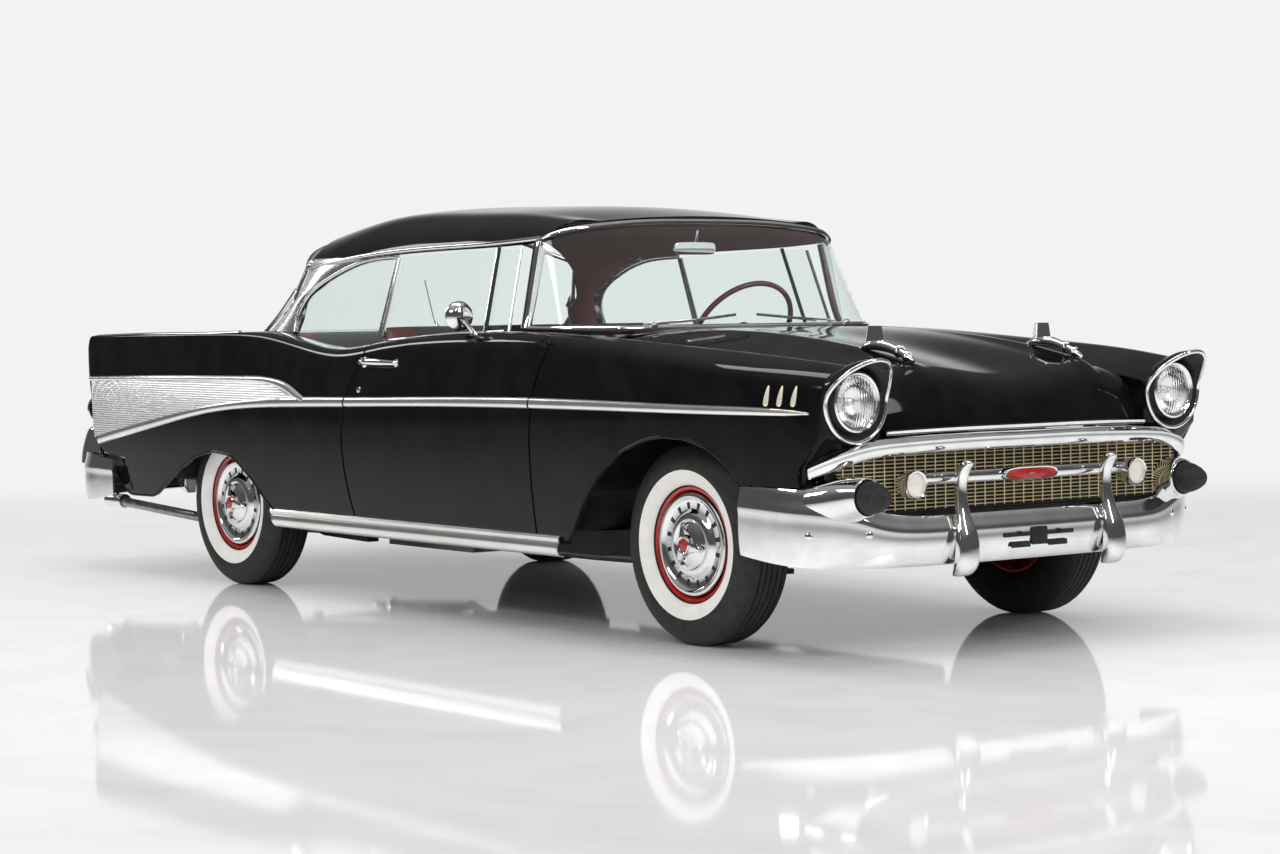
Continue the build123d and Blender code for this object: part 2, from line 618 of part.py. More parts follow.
def make_wheel(side):
    """A pressed wheel with its drum, spinning on a spindle along Y."""
    width = TYRE_WIDTH - 40
    rim = disc_y(0, 0, 0, RIM_RADIUS - 0.3, width) - disc_y(0, 0, 0, RIM_RADIUS - RIM_WALL, width + 2)
    disc = disc_y(0, side * 40, 0, RIM_RADIUS - 5, 12)
    cover = Pos(0, side * (width / 2 + 4), 0) * Rot(-90 * side, 0, 0) * Cone(COVER_RADIUS, 90, 34)
    nave = disc_y(0, side * 70, 0, 60, 60)
    drum = disc_y(0, side * 6, 0, DRUM_RADIUS, 60) - disc_y(0, -side * 6, 0, DRUM_RADIUS - 12, 60)
    wheel = rim + disc + cover + nave + drum
    bore = disc_y(0, side * 10, 0, SPINDLE_RADIUS + SPINDLE_GAP, 100)
    return wheel - bore


def make_tyre():
    section = Polyline((RIM_RADIUS, -72), (RIM_RADIUS + 30, -90), (RIM_RADIUS + 75, -TYRE_WIDTH / 2),
                       (TYRE_RADIUS - 26, -86), (TYRE_RADIUS, -66), (TYRE_RADIUS, 66), (TYRE_RADIUS - 26, 86),
                       (RIM_RADIUS + 75, TYRE_WIDTH / 2), (RIM_RADIUS + 30, 90), (RIM_RADIUS, 72), close=True)
    return Rot(90, 0, 0) * revolve(Plane.XZ * make_face(section), Axis.Z)


def make_knuckle():
    """The left steering knuckle: kingpin post, spindle, backing plate and steering arm."""
    y = Y_KINGPIN
    post = Pos(X_FRONT_AXLE, y, Z_HUB) * Cylinder(22, 150)
    pin = Pos(X_FRONT_AXLE, y, Z_HUB) * Cylinder(KINGPIN_RADIUS, 230)
    y_wheel = FRONT_TRACK / 2
    spindle = rod((X_FRONT_AXLE, y, Z_HUB), (X_FRONT_AXLE, y_wheel + 50, Z_HUB), SPINDLE_RADIUS)
    plate = disc_y(X_FRONT_AXLE, y_wheel - 40, Z_HUB, DRUM_RADIUS - 20, 8)
    arm = box((X_FRONT_AXLE - STEER_ARM, X_FRONT_AXLE), (y - 12, y + 12), (Z_STEER_ARM - 8, Z_STEER_ARM + 8))
    arm += Pos(X_FRONT_AXLE - STEER_ARM, y, Z_STEER_ARM) * Cylinder(16, 16)
    return post + pin + spindle + plate + arm


def make_suspension():
    """The upper and lower control arms and the coil springs of both front wheels, one solid for each arm."""
    parts = []
    for side in (1, -1):
        for z, inner in ((Z_HUB - 105, 90), (Z_HUB + 105, 70)):
            arm = plan_prism([(X_FRONT_AXLE - inner, side * 440), (X_FRONT_AXLE + inner, side * 440),
                              (X_FRONT_AXLE + 24, side * (Y_KINGPIN)), (X_FRONT_AXLE - 24, side * Y_KINGPIN)],
                             (z - 9, z + 9))
            arm += Pos(X_FRONT_AXLE, side * Y_KINGPIN, z) * Cylinder(28, 18)
            arm -= Pos(X_FRONT_AXLE, side * Y_KINGPIN, z) * Cylinder(KINGPIN_RADIUS + SPINDLE_GAP, 40)
            parts.append(arm)
    return parts


def make_rear_axle():
    axle = rod((X_REAR_AXLE, -REAR_TRACK / 2 + 60, Z_HUB), (X_REAR_AXLE, REAR_TRACK / 2 - 60, Z_HUB), 38)
    axle += rod((X_REAR_AXLE, -REAR_TRACK / 2 - 50, Z_HUB), (X_REAR_AXLE, REAR_TRACK / 2 + 50, Z_HUB), SPINDLE_RADIUS)
    axle += disc_x(X_REAR_AXLE, 0, Z_HUB, 132, 150)
    axle += rod((X_REAR_AXLE, 0, Z_HUB), (X_REAR_AXLE + 220, 0, Z_HUB), 45)
    return axle


def make_springs():
    parts = []
    for y in (570, -570):
        parts.append(bar([(-620, y, 210), (X_REAR_AXLE + 300, y, 218), (X_REAR_AXLE, y, 280.7),
                          (X_REAR_AXLE - 350, y, 262), (-1960, y, 340)], 50, 30))
    return parts


def make_exhaust():
    parts = []
    for y in (238, -238):
        parts.append(pipe([(1500, y, 369.7), (1500, y, 260), (1200, y, 200), (400, y, 188), (-300, y, 188)], 22)
                     + box((-900, -300), (y - 75, y + 75), (155, 222))
                     + box((-660, -640), (y - 10, y + 10), (222, 245 - SEAT_GAP))
                     + pipe([(-880, y, 188), (-1100, y * 1.3, 198), (-1590, y * 2.37, 210), (-1800, y * 2.9, 240),
                             (-2480, y * 2.95, 276)], 20))
    return parts


def make_engine():
    return box((1330, 1990), (-260, 260), (370, 860)) + box((700, 1330), (-95, 95), (290, 440))


def build():
    shell = side_shell(0, SKIN)
    grown_shell = side_shell(-4, SKIN + 4)
    nodes = {}
    fender, quarter, door = make_fender(shell), make_quarter(shell), make_door(shell)
    nodes["front_fender_left"], nodes["front_fender_right"] = fender, mirrored(fender)
    nodes["quarter_panel_left"], nodes["quarter_panel_right"] = quarter, mirrored(quarter)
    nodes["door_left"], nodes["door_right"] = door, mirrored(door)
    pane = leaning_glass(DOOR_GLASS)
    nodes["door_glass_left"], nodes["door_glass_right"] = pane, mirrored(pane)
    nodes["quarter_glass"] = both_sides(leaning_glass(QUARTER_GLASS))
    nodes["roof"] = make_roof()
    nodes["windshield"] = curved_glass(SCREEN_BASE, SCREEN_TOP, 1038, 1448,
                                       [(-746, 1038.3), (746, 1038.3), (706, 1180), (640, 1350), (440, 1380),
                                        (0, 1405), (-440, 1380), (-640, 1350), (-706, 1180)])
    nodes["rear_window"] = curved_glass(BACKLIGHT_BASE, BACKLIGHT_TOP, 1009.3, 1450,
                                        [(-735, 1009), (735, 1009), (680, 1180), (620, 1290), (420, 1370),
                                         (0, 1418), (-420, 1370), (-620, 1290), (-680, 1180)])
    nodes["rear_window"] &= side_prism(BACKLIGHT_EDGE, (-800, 800))
    nodes["hood"] = make_hood()
    nodes["hood_trim"] = Compound(children=make_hood_trim(nodes["hood"]))
    nodes["cowl"] = plan_prism(whole_plan([(1088, 0), (1088, 640), (962, 668), (950, 760), (602, 760),
                                           (602, 700), (800, 682), (905, 560), (962, 300), (975, 0)]), (990, 1038))
    nodes["front_bumper"] = make_front_bumper()
    nodes["bumper_tips"] = Compound(children=make_bumper_tips())
    nodes["rear_bumper"] = make_rear_bumper()
    nodes["grille"] = make_grille()
    rings, lamps, parking = make_front()
    nodes["headlamp_bezels"] = Compound(children=rings)
    nodes["headlamp_lenses"] = Compound(children=lamps)
    nodes["parking_lamps"] = Compound(children=parking)
    nodes["frame"] = make_frame()
    nodes["floor_pan"] = make_floor()
    nodes["boot_tub"] = make_boot_tub()
    nodes["rear_deck"] = Compound(children=make_rear_deck(grown_shell))
    nodes["boot_lid"] = make_boot_lid()
    nodes["tail_lamps"] = both_sides(make_tail_lamp())
    nodes["inner_fenders"] = both_sides(make_aprons(grown_shell))
    fender_strip, rear_flash, door_strips, rocker = make_trim(shell)
    nodes["side_trim"] = Compound(children=[fender_strip, rear_flash, mirrored(fender_strip), mirrored(rear_flash)])
    nodes["door_trim_left"] = Compound(children=door_strips)
    nodes["door_trim_right"] = Compound(children=[mirrored(strip) for strip in door_strips])
    nodes["rocker_mouldings"] = both_sides(rocker)
    nodes["door_mirror"] = make_mirror(shell)
    nodes["antenna"] = make_antenna(shell)
    nodes["door_hinges"] = Compound(children=make_hinges() + [mirrored(h) for h in make_hinges()])
    nodes["front_seat"] = make_seat(270, -250, 700, 640, 110, 1010)
    nodes["rear_seat"] = make_seat(-640, -1150, 590, 660, 160, 975)
    nodes["dashboard"] = make_dashboard()
    nodes["steering_column"] = make_column()
    nodes["steering_wheel"] = make_steering_wheel()
    nodes["engine"] = make_engine()
    nodes["radiator"] = box((2120, 2180), (-330, 330), (450, 860))
    tank = box((-2230, -1780), (-400, 400), (300, 366))
    for y in (-380, 380):
        tank += box((-1770, -1730), (y - 20, y + 20), (356, 390 - SEAT_GAP))
        tank += box((-1780, -1730), (y - 20, y + 20), (350, 366))
        tank += box((-2236, -2214), (y - 20, y + 20), (360, 390 - SEAT_GAP))
    nodes["fuel_tank"] = tank
    nodes["exhaust"] = Compound(children=make_exhaust())
    nodes["drive_shaft"] = rod((698, 0, 382), (X_REAR_AXLE + 221, 0, Z_HUB + 8), 36)
    nodes["rear_axle"] = make_rear_axle()
    nodes["leaf_springs"] = Compound(children=make_springs())
    nodes["front_suspension"] = Compound(children=make_suspension())
    knuckle = make_knuckle()
    nodes["knuckle_left"], nodes["knuckle_right"] = knuckle, mirrored(knuckle)
    nodes["tie_rod"] = rod((X_FRONT_AXLE - STEER_ARM, -Y_KINGPIN, Z_STEER_ARM - 26),
                           (X_FRONT_AXLE - STEER_ARM, Y_KINGPIN, Z_STEER_ARM - 26), 12)
    for end, x, track in (("front", X_FRONT_AXLE, FRONT_TRACK), ("rear", X_REAR_AXLE, REAR_TRACK)):
        for name, side in (("left", 1), ("right", -1)):
            place = Pos(x, side * track / 2, Z_HUB)
            nodes[f"wheel_{end}_{name}"] = place * make_wheel(side)
            nodes[f"tyre_{end}_{name}"] = place * make_tyre()
    return nodes


os.makedirs("parts", exist_ok=True)
for name, shape in build().items():
    export_step(shape, f"parts/{name}.step")
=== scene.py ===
"""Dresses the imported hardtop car: smooth painted panels, bright trim, wheels, glass and cabin.

Sizes in the tables are in millimetres: +X is the front of the car, +Y its left side and +Z up.
"""

import math

import bpy
import numpy as np
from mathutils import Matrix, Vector


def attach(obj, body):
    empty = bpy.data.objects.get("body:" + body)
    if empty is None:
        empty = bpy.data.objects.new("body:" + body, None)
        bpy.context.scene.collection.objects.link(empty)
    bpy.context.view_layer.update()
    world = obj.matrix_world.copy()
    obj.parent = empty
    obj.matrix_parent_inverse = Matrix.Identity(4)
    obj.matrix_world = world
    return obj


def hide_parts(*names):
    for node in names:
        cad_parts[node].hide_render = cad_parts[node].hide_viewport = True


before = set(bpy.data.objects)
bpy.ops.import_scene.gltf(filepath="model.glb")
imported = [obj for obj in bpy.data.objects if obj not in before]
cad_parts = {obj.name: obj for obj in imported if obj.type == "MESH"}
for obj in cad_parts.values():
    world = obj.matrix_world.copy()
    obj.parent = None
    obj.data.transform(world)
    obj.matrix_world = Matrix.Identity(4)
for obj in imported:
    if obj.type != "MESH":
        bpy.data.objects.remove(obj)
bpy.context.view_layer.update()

bl_info = {
    "name": "Hardtop car",
    "version": (1, 0, 0),
    "blender": (4, 5, 0),
    "location": "View3D > Sidebar > Hardtop car",
    "description": "Dresses the hardtop car's frame with panels, trim, wheels, glass and cabin",
    "category": "Object",
}

MM = 0.001
X_FRONT_AXLE = 1675.0
X_REAR_AXLE = -1246.0
HALF_TRACKS = {"front": 736.5, "rear": 747.0}
Z_HUB = 334.0

# the left body side: distance of the station, half width at the sill, height and half width of the
# waist, of the shoulder, of the crown, and of the valley where the hood, glass or boot lid begins
SIDE_STATIONS = np.array([
    (2360, 822, 760, 858, 880, 838, 936, 728, 852, 600),
    (2150, 868, 770, 905, 900, 888, 958, 768, 885, 600),
    (1675, 900, 775, 933, 940, 905, 990, 805, 945, 618),
    (1100, 905, 780, 933, 970, 893, 1022, 835, 1004, 655),
    (500, 905, 775, 930, 975, 885, 1027, 835, 1030, 775),
    (-100, 905, 765, 930, 950, 890, 992, 845, 992, 775),
    (-403, 905, 765, 930, 925, 892, 964, 848, 964, 775),
    (-968, 905, 765, 933, 985, 895, 1022, 865, 1024, 775),
    (-1246, 905, 765, 935, 1000, 905, 1020, 882, 1006, 700),
    (-1800, 900, 765, 935, 995, 912, 1015, 892, 968, 640),
    (-2300, 880, 770, 925, 985, 905, 1006, 888, 930, 620),
], float)[::-1]
Z_SILL = 330.0
# rows of the surface between two corners of the section, and how far each stretch bulges
SECTION_ROWS = (30, 14, 9, 12)
SECTION_BULGES = (10, 4, 8, 2)
CROWN = sum(SECTION_ROWS[:3])
STATION_STEP = 7.0

# outlines on the body side, (distance, height)
DOOR_FRONT_EDGE = [(941, 320), (937, 660), (948, 803), (968, 900), (1000, 985), (955, 992), (955, 1060)]
DOOR_REAR_EDGE = [(-214, 320), (-238, 402), (-262, 516), (-272, 640), (-247, 781), (-211, 868),
                  (-172, 935), (-150, 1100)]
TAIL_EDGE = [(-2205, 320), (-2241, 544), (-2261, 700), (-2299, 831), (-2336, 979), (-2318, 1010)]
FRONT_ARCH = [(940, 322), (1135, 322), (1151, 341), (1223, 443), (1328, 551), (1455, 633), (1588, 678),
              (1680, 690), (1790, 688), (1907, 663), (1998, 608), (2062, 548), (2400, 548)]
REAR_ARCH = [(-2400, 540), (-2241, 540), (-2015, 332), (-1775, 335), (-1766, 343), (-1556, 449),
             (-1401, 512), (-1248, 542), (-1096, 529), (-950, 436), (-864, 357), (-814, 322), (-100, 322)]
PANEL_GAP = 8.0
Y_BELT_LIP = 790.0


def natural_spline(knots, values):
    """A smooth curve through values at knots, as a function."""
    knots, values = np.asarray(knots, float), np.asarray(values, float)
    step = np.diff(knots)
    count = len(knots)
    matrix, right = np.eye(count), np.zeros_like(values)
    for i in range(1, count - 1):
        matrix[i, i - 1:i + 2] = step[i - 1], 2 * (step[i - 1] + step[i]), step[i]
        right[i] = 6 * ((values[i + 1] - values[i]) / step[i] - (values[i] - values[i - 1]) / step[i - 1])
    bend = np.linalg.solve(matrix, right)

    def at(x):
        x = np.asarray(x, float)
        i = np.clip(np.searchsorted(knots, x) - 1, 0, count - 2)
        t, u, w = x - knots[i], knots[i + 1] - x, step[i]
        if values.ndim > 1:
            t, u, w = t[..., None], u[..., None], w[..., None]
        cubes = (bend[i] * u ** 3 + bend[i + 1] * t ** 3) / (6 * w)
        return cubes + (values[i] / w - bend[i] * w / 6) * u + (values[i + 1] / w - bend[i + 1] * w / 6) * t

    return at


def line(points, column=0):
    """A function of one coordinate through (distance, height) points in straight runs."""
    points = sorted(points, key=lambda p: p[1 - column])
    keys = [p[1 - column] for p in points]
    values = [p[column] for p in points]
    return lambda k: np.interp(k, keys, values)


def softened(rows, times):
    """Rounds the corners of curves that run along the second axis of rows."""
    rows = rows.copy()
    for _ in range(times):
        inner = (rows[:, :-2] + 2 * rows[:, 1:-1] + rows[:, 2:]) / 4
        rows[:, 1:-1] = inner
    return rows


def side_table():
    stations = np.arange(-2352, 2381, STATION_STEP)
    values = natural_spline(SIDE_STATIONS[:, 0], SIDE_STATIONS[:, 1:])(stations)
    sill, z1, y1, z2, y2, z3, y3, z4, y4 = values.T
    corners = [(sill, np.full_like(sill, Z_SILL)), (y1, z1), (y2, z2), (y3, z3), (y4, z4)]
    columns = []
    for (ya, za), (yb, zb), rows, bulge in zip(corners, corners[1:], SECTION_ROWS, SECTION_BULGES):
        length = np.hypot(yb - ya, zb - za)
        for s in np.arange(rows) / rows:
            out = 4 * bulge * s * (1 - s)
            columns.append(np.stack([ya + (yb - ya) * s + out * (zb - za) / length,
                                     za + (zb - za) * s - out * (yb - ya) / length], axis=-1))
    columns.append(np.stack(corners[-1], axis=-1))
    table = np.stack(columns, axis=1)
    return stations, softened(table, 5)


STATIONS, SIDE = side_table()


def side_column(x):
    """The section's (y, z) points at each distance x."""
    at = np.clip((np.asarray(x, float) - STATIONS[0]) / STATION_STEP, 0, len(STATIONS) - 1.001)
    k = at.astype(int)
    w = (at - k)[..., None, None]
    return SIDE[k] * (1 - w) + SIDE[k + 1] * w


def pick(column, t, axis):
    """The y (axis 0) or z (axis 1) of a section at row t."""
    t = np.clip(t, 0, column.shape[-2] - 1.0001)
    j = t.astype(int)[..., None]
    w = t - j[..., 0]
    low = np.take_along_axis(column[..., axis], j, -1)[..., 0]
    high = np.take_along_axis(column[..., axis], j + 1, -1)[..., 0]
    return low * (1 - w) + high * w


def row_at(column, value, axis=1):
    """The row where the outer side reaches a height, or the fall inside the crown reaches a half width."""
    part = column[..., :CROWN + 1, 1] if axis else -column[..., CROWN:, 0]
    value = np.asarray(value if axis else -np.asarray(value), float)[..., None]
    j = np.clip((part < value).sum(-1) - 1, 0, part.shape[-1] - 2)[..., None]
    low, high = np.take_along_axis(part, j, -1), np.take_along_axis(part, j + 1, -1)
    t = (j + (value - low) / np.maximum(high - low, 1e-6))[..., 0]
    return np.clip(t, 0, part.shape[-1] - 1) + (0 if axis else CROWN)


def side_y(x, z):
    """How far out the body side is at a distance and a height."""
    column = side_column(x)
    return pick(column, row_at(column, z), 0)


def fractions(count, margin):
    """Even steps from 0 to 1 with an extra one just inside each end, where an edge rolls over."""
    return np.concatenate([[0], np.linspace(margin, 1 - margin, count), [1]])


def side_panel(front, rear, low, high, steps, margins):
    """Points of a panel of the left side between two upright edges, a lower edge and an upper row."""
    f, g = fractions(steps[0], margins[0])[:, None], fractions(steps[1], margins[1])[None, :]
    x = rear(700.0) + (front(700.0) - rear(700.0)) * f + 0 * g
    for _ in range(16):
        column = side_column(x)
        start, end = row_at(column, low(x)), high(x, column)
        t = start + (end - start) * g
        z = pick(column, t, 1)
        x = 0.4 * x + 0.6 * (rear(z) + (front(z) - rear(z)) * f)
    column = side_column(x)
    start, end = row_at(column, low(x)), high(x, column)
    t = start + (end - start) * g
    return np.stack([x, pick(column, t, 0), pick(column, t, 1)], axis=-1)


def normals(points):
    du = np.gradient(points, axis=0)
    dv = np.gradient(points, axis=1)
    n = np.cross(du, dv)
    return n / np.maximum(np.linalg.norm(n, axis=-1, keepdims=True), 1e-9)


def grid_faces(nu, nv, wrap=False):
    faces = []
    for i in range(nu if wrap else nu - 1):
        k = (i + 1) % nu
        for j in range(nv - 1):
            faces.append((i * nv + j, k * nv + j, k * nv + j + 1, i * nv + j + 1))
    return faces


def flipped(faces):
    return [tuple(reversed(f)) for f in faces]


def mirror_points(points):
    return np.asarray(points) * (1, -1, 1)


def node_of(tree, kind, **sockets):
    node = tree.nodes.new(kind)
    for name, value in sockets.items():
        node.inputs[name.replace("_", " ")].default_value = value
    return node


def finish(name, colour, second=None, rough=(0.3, 0.4), metal=0.0, scale=30.0, bump=0.0, bump_scale=None,
           stretch=(1, 1, 1), coat=0.0, sheen=0.0, transmission=0.0, ior=1.45, emission=0.0, wave=None,
           specular=0.5, alpha=1.0):
    """A procedural finish: two tones and two roughnesses mixed by noise, with a fine bump."""
    material = bpy.data.materials.new(name)
    material.use_nodes = True
    tree = material.node_tree
    shader = tree.nodes["Principled BSDF"]
    shader.inputs["Metallic"].default_value = metal
    shader.inputs["Coat Weight"].default_value = coat
    shader.inputs["Coat Roughness"].default_value = 0.03
    shader.inputs["Sheen Weight"].default_value = sheen
    shader.inputs["Transmission Weight"].default_value = transmission
    shader.inputs["IOR"].default_value = ior
    shader.inputs["Specular IOR Level"].default_value = specular
    shader.inputs["Alpha"].default_value = alpha
    if emission:
        shader.inputs["Emission Color"].default_value = (*colour, 1)
        shader.inputs["Emission Strength"].default_value = emission
    place = tree.nodes.new("ShaderNodeTexCoord")
    mapping = tree.nodes.new("ShaderNodeMapping")
    mapping.inputs["Scale"].default_value = stretch
    tree.links.new(place.outputs["Object"], mapping.inputs["Vector"])
    noise = node_of(tree, "ShaderNodeTexNoise", Scale=scale, Detail=5.0)
    tree.links.new(mapping.outputs["Vector"], noise.inputs["Vector"])
    ramp = tree.nodes.new("ShaderNodeValToRGB")
    ramp.color_ramp.elements[0].position, ramp.color_ramp.elements[1].position = 0.35, 0.65
    ramp.color_ramp.elements[0].color = (*colour, 1)
    ramp.color_ramp.elements[1].color = (*(second or colour), 1)
    tree.links.new(noise.outputs["Fac"], ramp.inputs["Fac"])
    tree.links.new(ramp.outputs["Color"], shader.inputs["Base Color"])
    spread = tree.nodes.new("ShaderNodeMapRange")
    spread.inputs["To Min"].default_value, spread.inputs["To Max"].default_value = rough
    tree.links.new(noise.outputs["Fac"], spread.inputs["Value"])
    tree.links.new(spread.outputs["Result"], shader.inputs["Roughness"])
    if bump:
        if wave:
            grain = node_of(tree, "ShaderNodeTexWave", Scale=bump_scale, Distortion=wave[1])
            grain.bands_direction = wave[0]
        else:
            grain = node_of(tree, "ShaderNodeTexNoise", Scale=bump_scale or scale, Detail=3.0)
        tree.links.new(mapping.outputs["Vector"], grain.inputs["Vector"])
        lift = node_of(tree, "ShaderNodeBump", Strength=1.0, Distance=bump)
        tree.links.new(grain.outputs["Fac"], lift.inputs["Height"])
        tree.links.new(lift.outputs["Normal"], shader.inputs["Normal"])
    return material


M = {}


def make_finishes(looks):
    paint, cloth = tuple(looks.paint_colour), tuple(looks.cloth_colour)
    M["paint"] = finish("gloss_black_paint", paint, tuple(c * 1.6 + 0.001 for c in paint), rough=(0.03, 0.06),
                        scale=9, specular=0.22)
    M["chrome"] = finish("bright_chrome", (0.80, 0.80, 0.81), (0.90, 0.90, 0.90), rough=(0.03, 0.07), metal=1.0,
                         scale=12, bump=0.00003, bump_scale=25)
    M["satin"] = finish("brushed_bright_metal", (0.74, 0.73, 0.71), (0.84, 0.83, 0.81), rough=(0.2, 0.32),
                        metal=1.0, scale=40, stretch=(1, 1, 8), bump=0.00002, bump_scale=300)
    M["spear"] = finish("pale_polished_trim", (0.80, 0.78, 0.76), (0.86, 0.84, 0.82), rough=(0.14, 0.2), metal=0.9,
                        scale=5)
    M["ribbed"] = finish("silver_ribbed_panel", (0.74, 0.74, 0.73), (0.80, 0.80, 0.79), rough=(0.26, 0.34),
                         metal=0.75, scale=6)
    M["gold"] = finish("pale_gold", (0.86, 0.70, 0.38), (0.94, 0.80, 0.50), rough=(0.25, 0.38), metal=0.5, scale=80)
    M["louvre"] = finish("cream_gold_louvre", (0.80, 0.74, 0.55), (0.88, 0.82, 0.65), rough=(0.3, 0.4), metal=0.4,
                         scale=90, bump=0.00004, bump_scale=600)
    M["black"] = finish("satin_black_metal", (0.008, 0.008, 0.009), (0.02, 0.02, 0.02), rough=(0.35, 0.6), scale=20,
                        bump=0.0002, bump_scale=220)
    M["chassis"] = finish("chassis_black_paint", (0.010, 0.010, 0.011), (0.03, 0.028, 0.026), rough=(0.4, 0.75),
                          scale=14, bump=0.0004, bump_scale=150)
    M["iron"] = finish("engine_enamel", (0.14, 0.03, 0.02), (0.2, 0.05, 0.03), rough=(0.4, 0.7), scale=25,
                       bump=0.0005, bump_scale=120)
    M["steel"] = finish("bare_steel", (0.32, 0.31, 0.30), (0.45, 0.44, 0.42), rough=(0.3, 0.55), metal=1.0,
                        scale=30, bump=0.0002, bump_scale=180)
    M["rubber"] = finish("black_rubber", (0.012, 0.012, 0.012), (0.026, 0.026, 0.026), rough=(0.5, 0.75), scale=60,
                         bump=0.0002, bump_scale=400)
    M["tyre"] = finish("tyre_rubber", (0.014, 0.014, 0.014), (0.028, 0.027, 0.026), rough=(0.5, 0.72), scale=35,
                       bump=0.0003, bump_scale=300)
    M["whitewall"] = finish("whitewall_rubber", (0.80, 0.78, 0.73), (0.86, 0.84, 0.80), rough=(0.4, 0.55), scale=20,
                            bump=0.0001, bump_scale=200)
    M["rim_red"] = finish("red_rim_enamel", (0.30, 0.014, 0.012), (0.40, 0.022, 0.018), rough=(0.15, 0.25),
                          scale=25, bump=0.00004, bump_scale=150, coat=0.6)
    M["cloth"] = finish("woven_seat_cloth", cloth, tuple(c * 0.55 for c in cloth), rough=(0.7, 0.9), scale=180,
                        bump=0.0004, bump_scale=700, sheen=0.3)
    M["vinyl"] = finish("dark_red_vinyl", (0.16, 0.020, 0.018), (0.21, 0.03, 0.026), rough=(0.35, 0.5), scale=50,
                        bump=0.0002, bump_scale=450)
    M["liner"] = finish("dark_red_headliner", (0.20, 0.035, 0.03), (0.26, 0.05, 0.04), rough=(0.75, 0.9), scale=120,
                        bump=0.0004, bump_scale=600, sheen=0.3)
    M["insert"] = finish("black_pattern_cloth", (0.012, 0.011, 0.011), (0.06, 0.05, 0.05), rough=(0.6, 0.85),
                         scale=260, bump=0.0004, bump_scale=500, sheen=0.2)
    M["carpet"] = finish("dark_carpet", (0.03, 0.008, 0.008), (0.06, 0.015, 0.014), rough=(0.9, 1.0), scale=200,
                         bump=0.002, bump_scale=500, sheen=0.3)
    M["wheel_plastic"] = finish("dark_red_plastic", (0.12, 0.014, 0.012), (0.16, 0.02, 0.016), rough=(0.15, 0.25),
                                scale=30, bump=0.00005, bump_scale=200, coat=0.5)
    M["glass"] = finish("tinted_glass", tuple(looks.glass_colour), tuple(looks.glass_colour), rough=(0.0, 0.01),
                        scale=3, transmission=1.0, ior=1.01, specular=0.5, coat=0.6)
    M["lamp_glass"] = finish("fluted_lamp_glass", (0.95, 0.96, 0.97), (0.99, 0.99, 0.99), rough=(0.02, 0.06),
                             scale=8, transmission=1.0, ior=1.3, bump=0.0006, bump_scale=28, wave=("Y", 0.0))
    M["reflector"] = finish("lamp_reflector", (0.86, 0.87, 0.88), (0.93, 0.93, 0.94), rough=(0.08, 0.16), metal=1.0,
                            scale=9, bump=0.0003, bump_scale=30)
    M["red_lens"] = finish("ruby_lamp_lens", (0.40, 0.004, 0.006), (0.5, 0.01, 0.01), rough=(0.05, 0.12), scale=10,
                           bump=0.0004, bump_scale=60, coat=1.0)
    M["cream_lens"] = finish("frosted_lamp_lens", (0.72, 0.68, 0.60), (0.82, 0.79, 0.72), rough=(0.1, 0.2),
                             scale=12, bump=0.0004, bump_scale=60, coat=0.8)


def add_mesh(name, points, faces, finishes, body, slots=None, angle=32, replaces=(), slot=None):
    """A piece from points in millimetres. slots gives the number of each face's finish."""
    mesh = bpy.data.meshes.new(name)
    mesh.from_pydata([tuple(p) for p in np.asarray(points, float) * MM], [], [tuple(map(int, f)) for f in faces])
    mesh.update()
    for finish_name in finishes:
        mesh.materials.append(M[finish_name])
    if slots is not None:
        mesh.polygons.foreach_set("material_index", np.asarray(slots, np.int32))
    mesh.shade_smooth()
    mesh.set_sharp_from_angle(angle=math.radians(angle))
    piece = bpy.data.objects.new(name, mesh)
    bpy.context.scene.collection.objects.link(piece)
    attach(piece, body)
    if replaces:
        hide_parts(*replaces)
    return piece


def slab(points, thickness, flip=False, roll=1.5):
    """A sheet with its back and rims from a grid of points; its outer edge rolls over a little."""
    points = np.array(points, float)
    n = normals(points) * (-1 if flip else 1)
    nu, nv = points.shape[:2]
    back = points - n * thickness
    for cut in (np.s_[0], np.s_[-1], np.s_[:, 0], np.s_[:, -1]):
        points[cut] = points[cut] - n[cut] * roll
    count = nu * nv
    top = grid_faces(nu, nv)
    rim = []
    for i in range(nu - 1):
        rim.append((i * nv, i * nv + count, (i + 1) * nv + count, (i + 1) * nv))
        a, b = i * nv + nv - 1, (i + 1) * nv + nv - 1
        rim.append((a, b, b + count, a + count))
    for j in range(nv - 1):
        rim.append((j, j + 1, j + 1 + count, j + count))
        a = (nu - 1) * nv + j
        rim.append((a, a + count, a + 1 + count, a + 1))
    under = flipped([tuple(v + count for v in f) for f in top])
    faces = top + under + rim
    if flip:
        faces = flipped(faces)
    return np.concatenate([points.reshape(-1, 3), back.reshape(-1, 3)]), faces, (len(top), len(under), len(rim))


def sheet_piece(name, points, thickness, finishes, body, flip=False, roll=1.5, **rest):
    verts, faces, counts = slab(points, thickness, flip, roll)
    slots = None
    if len(finishes) > 1:
        slots = [0] * counts[0] + [1] * counts[1] + [0] * counts[2]
    return add_mesh(name, verts, faces, finishes, body, slots, **rest)


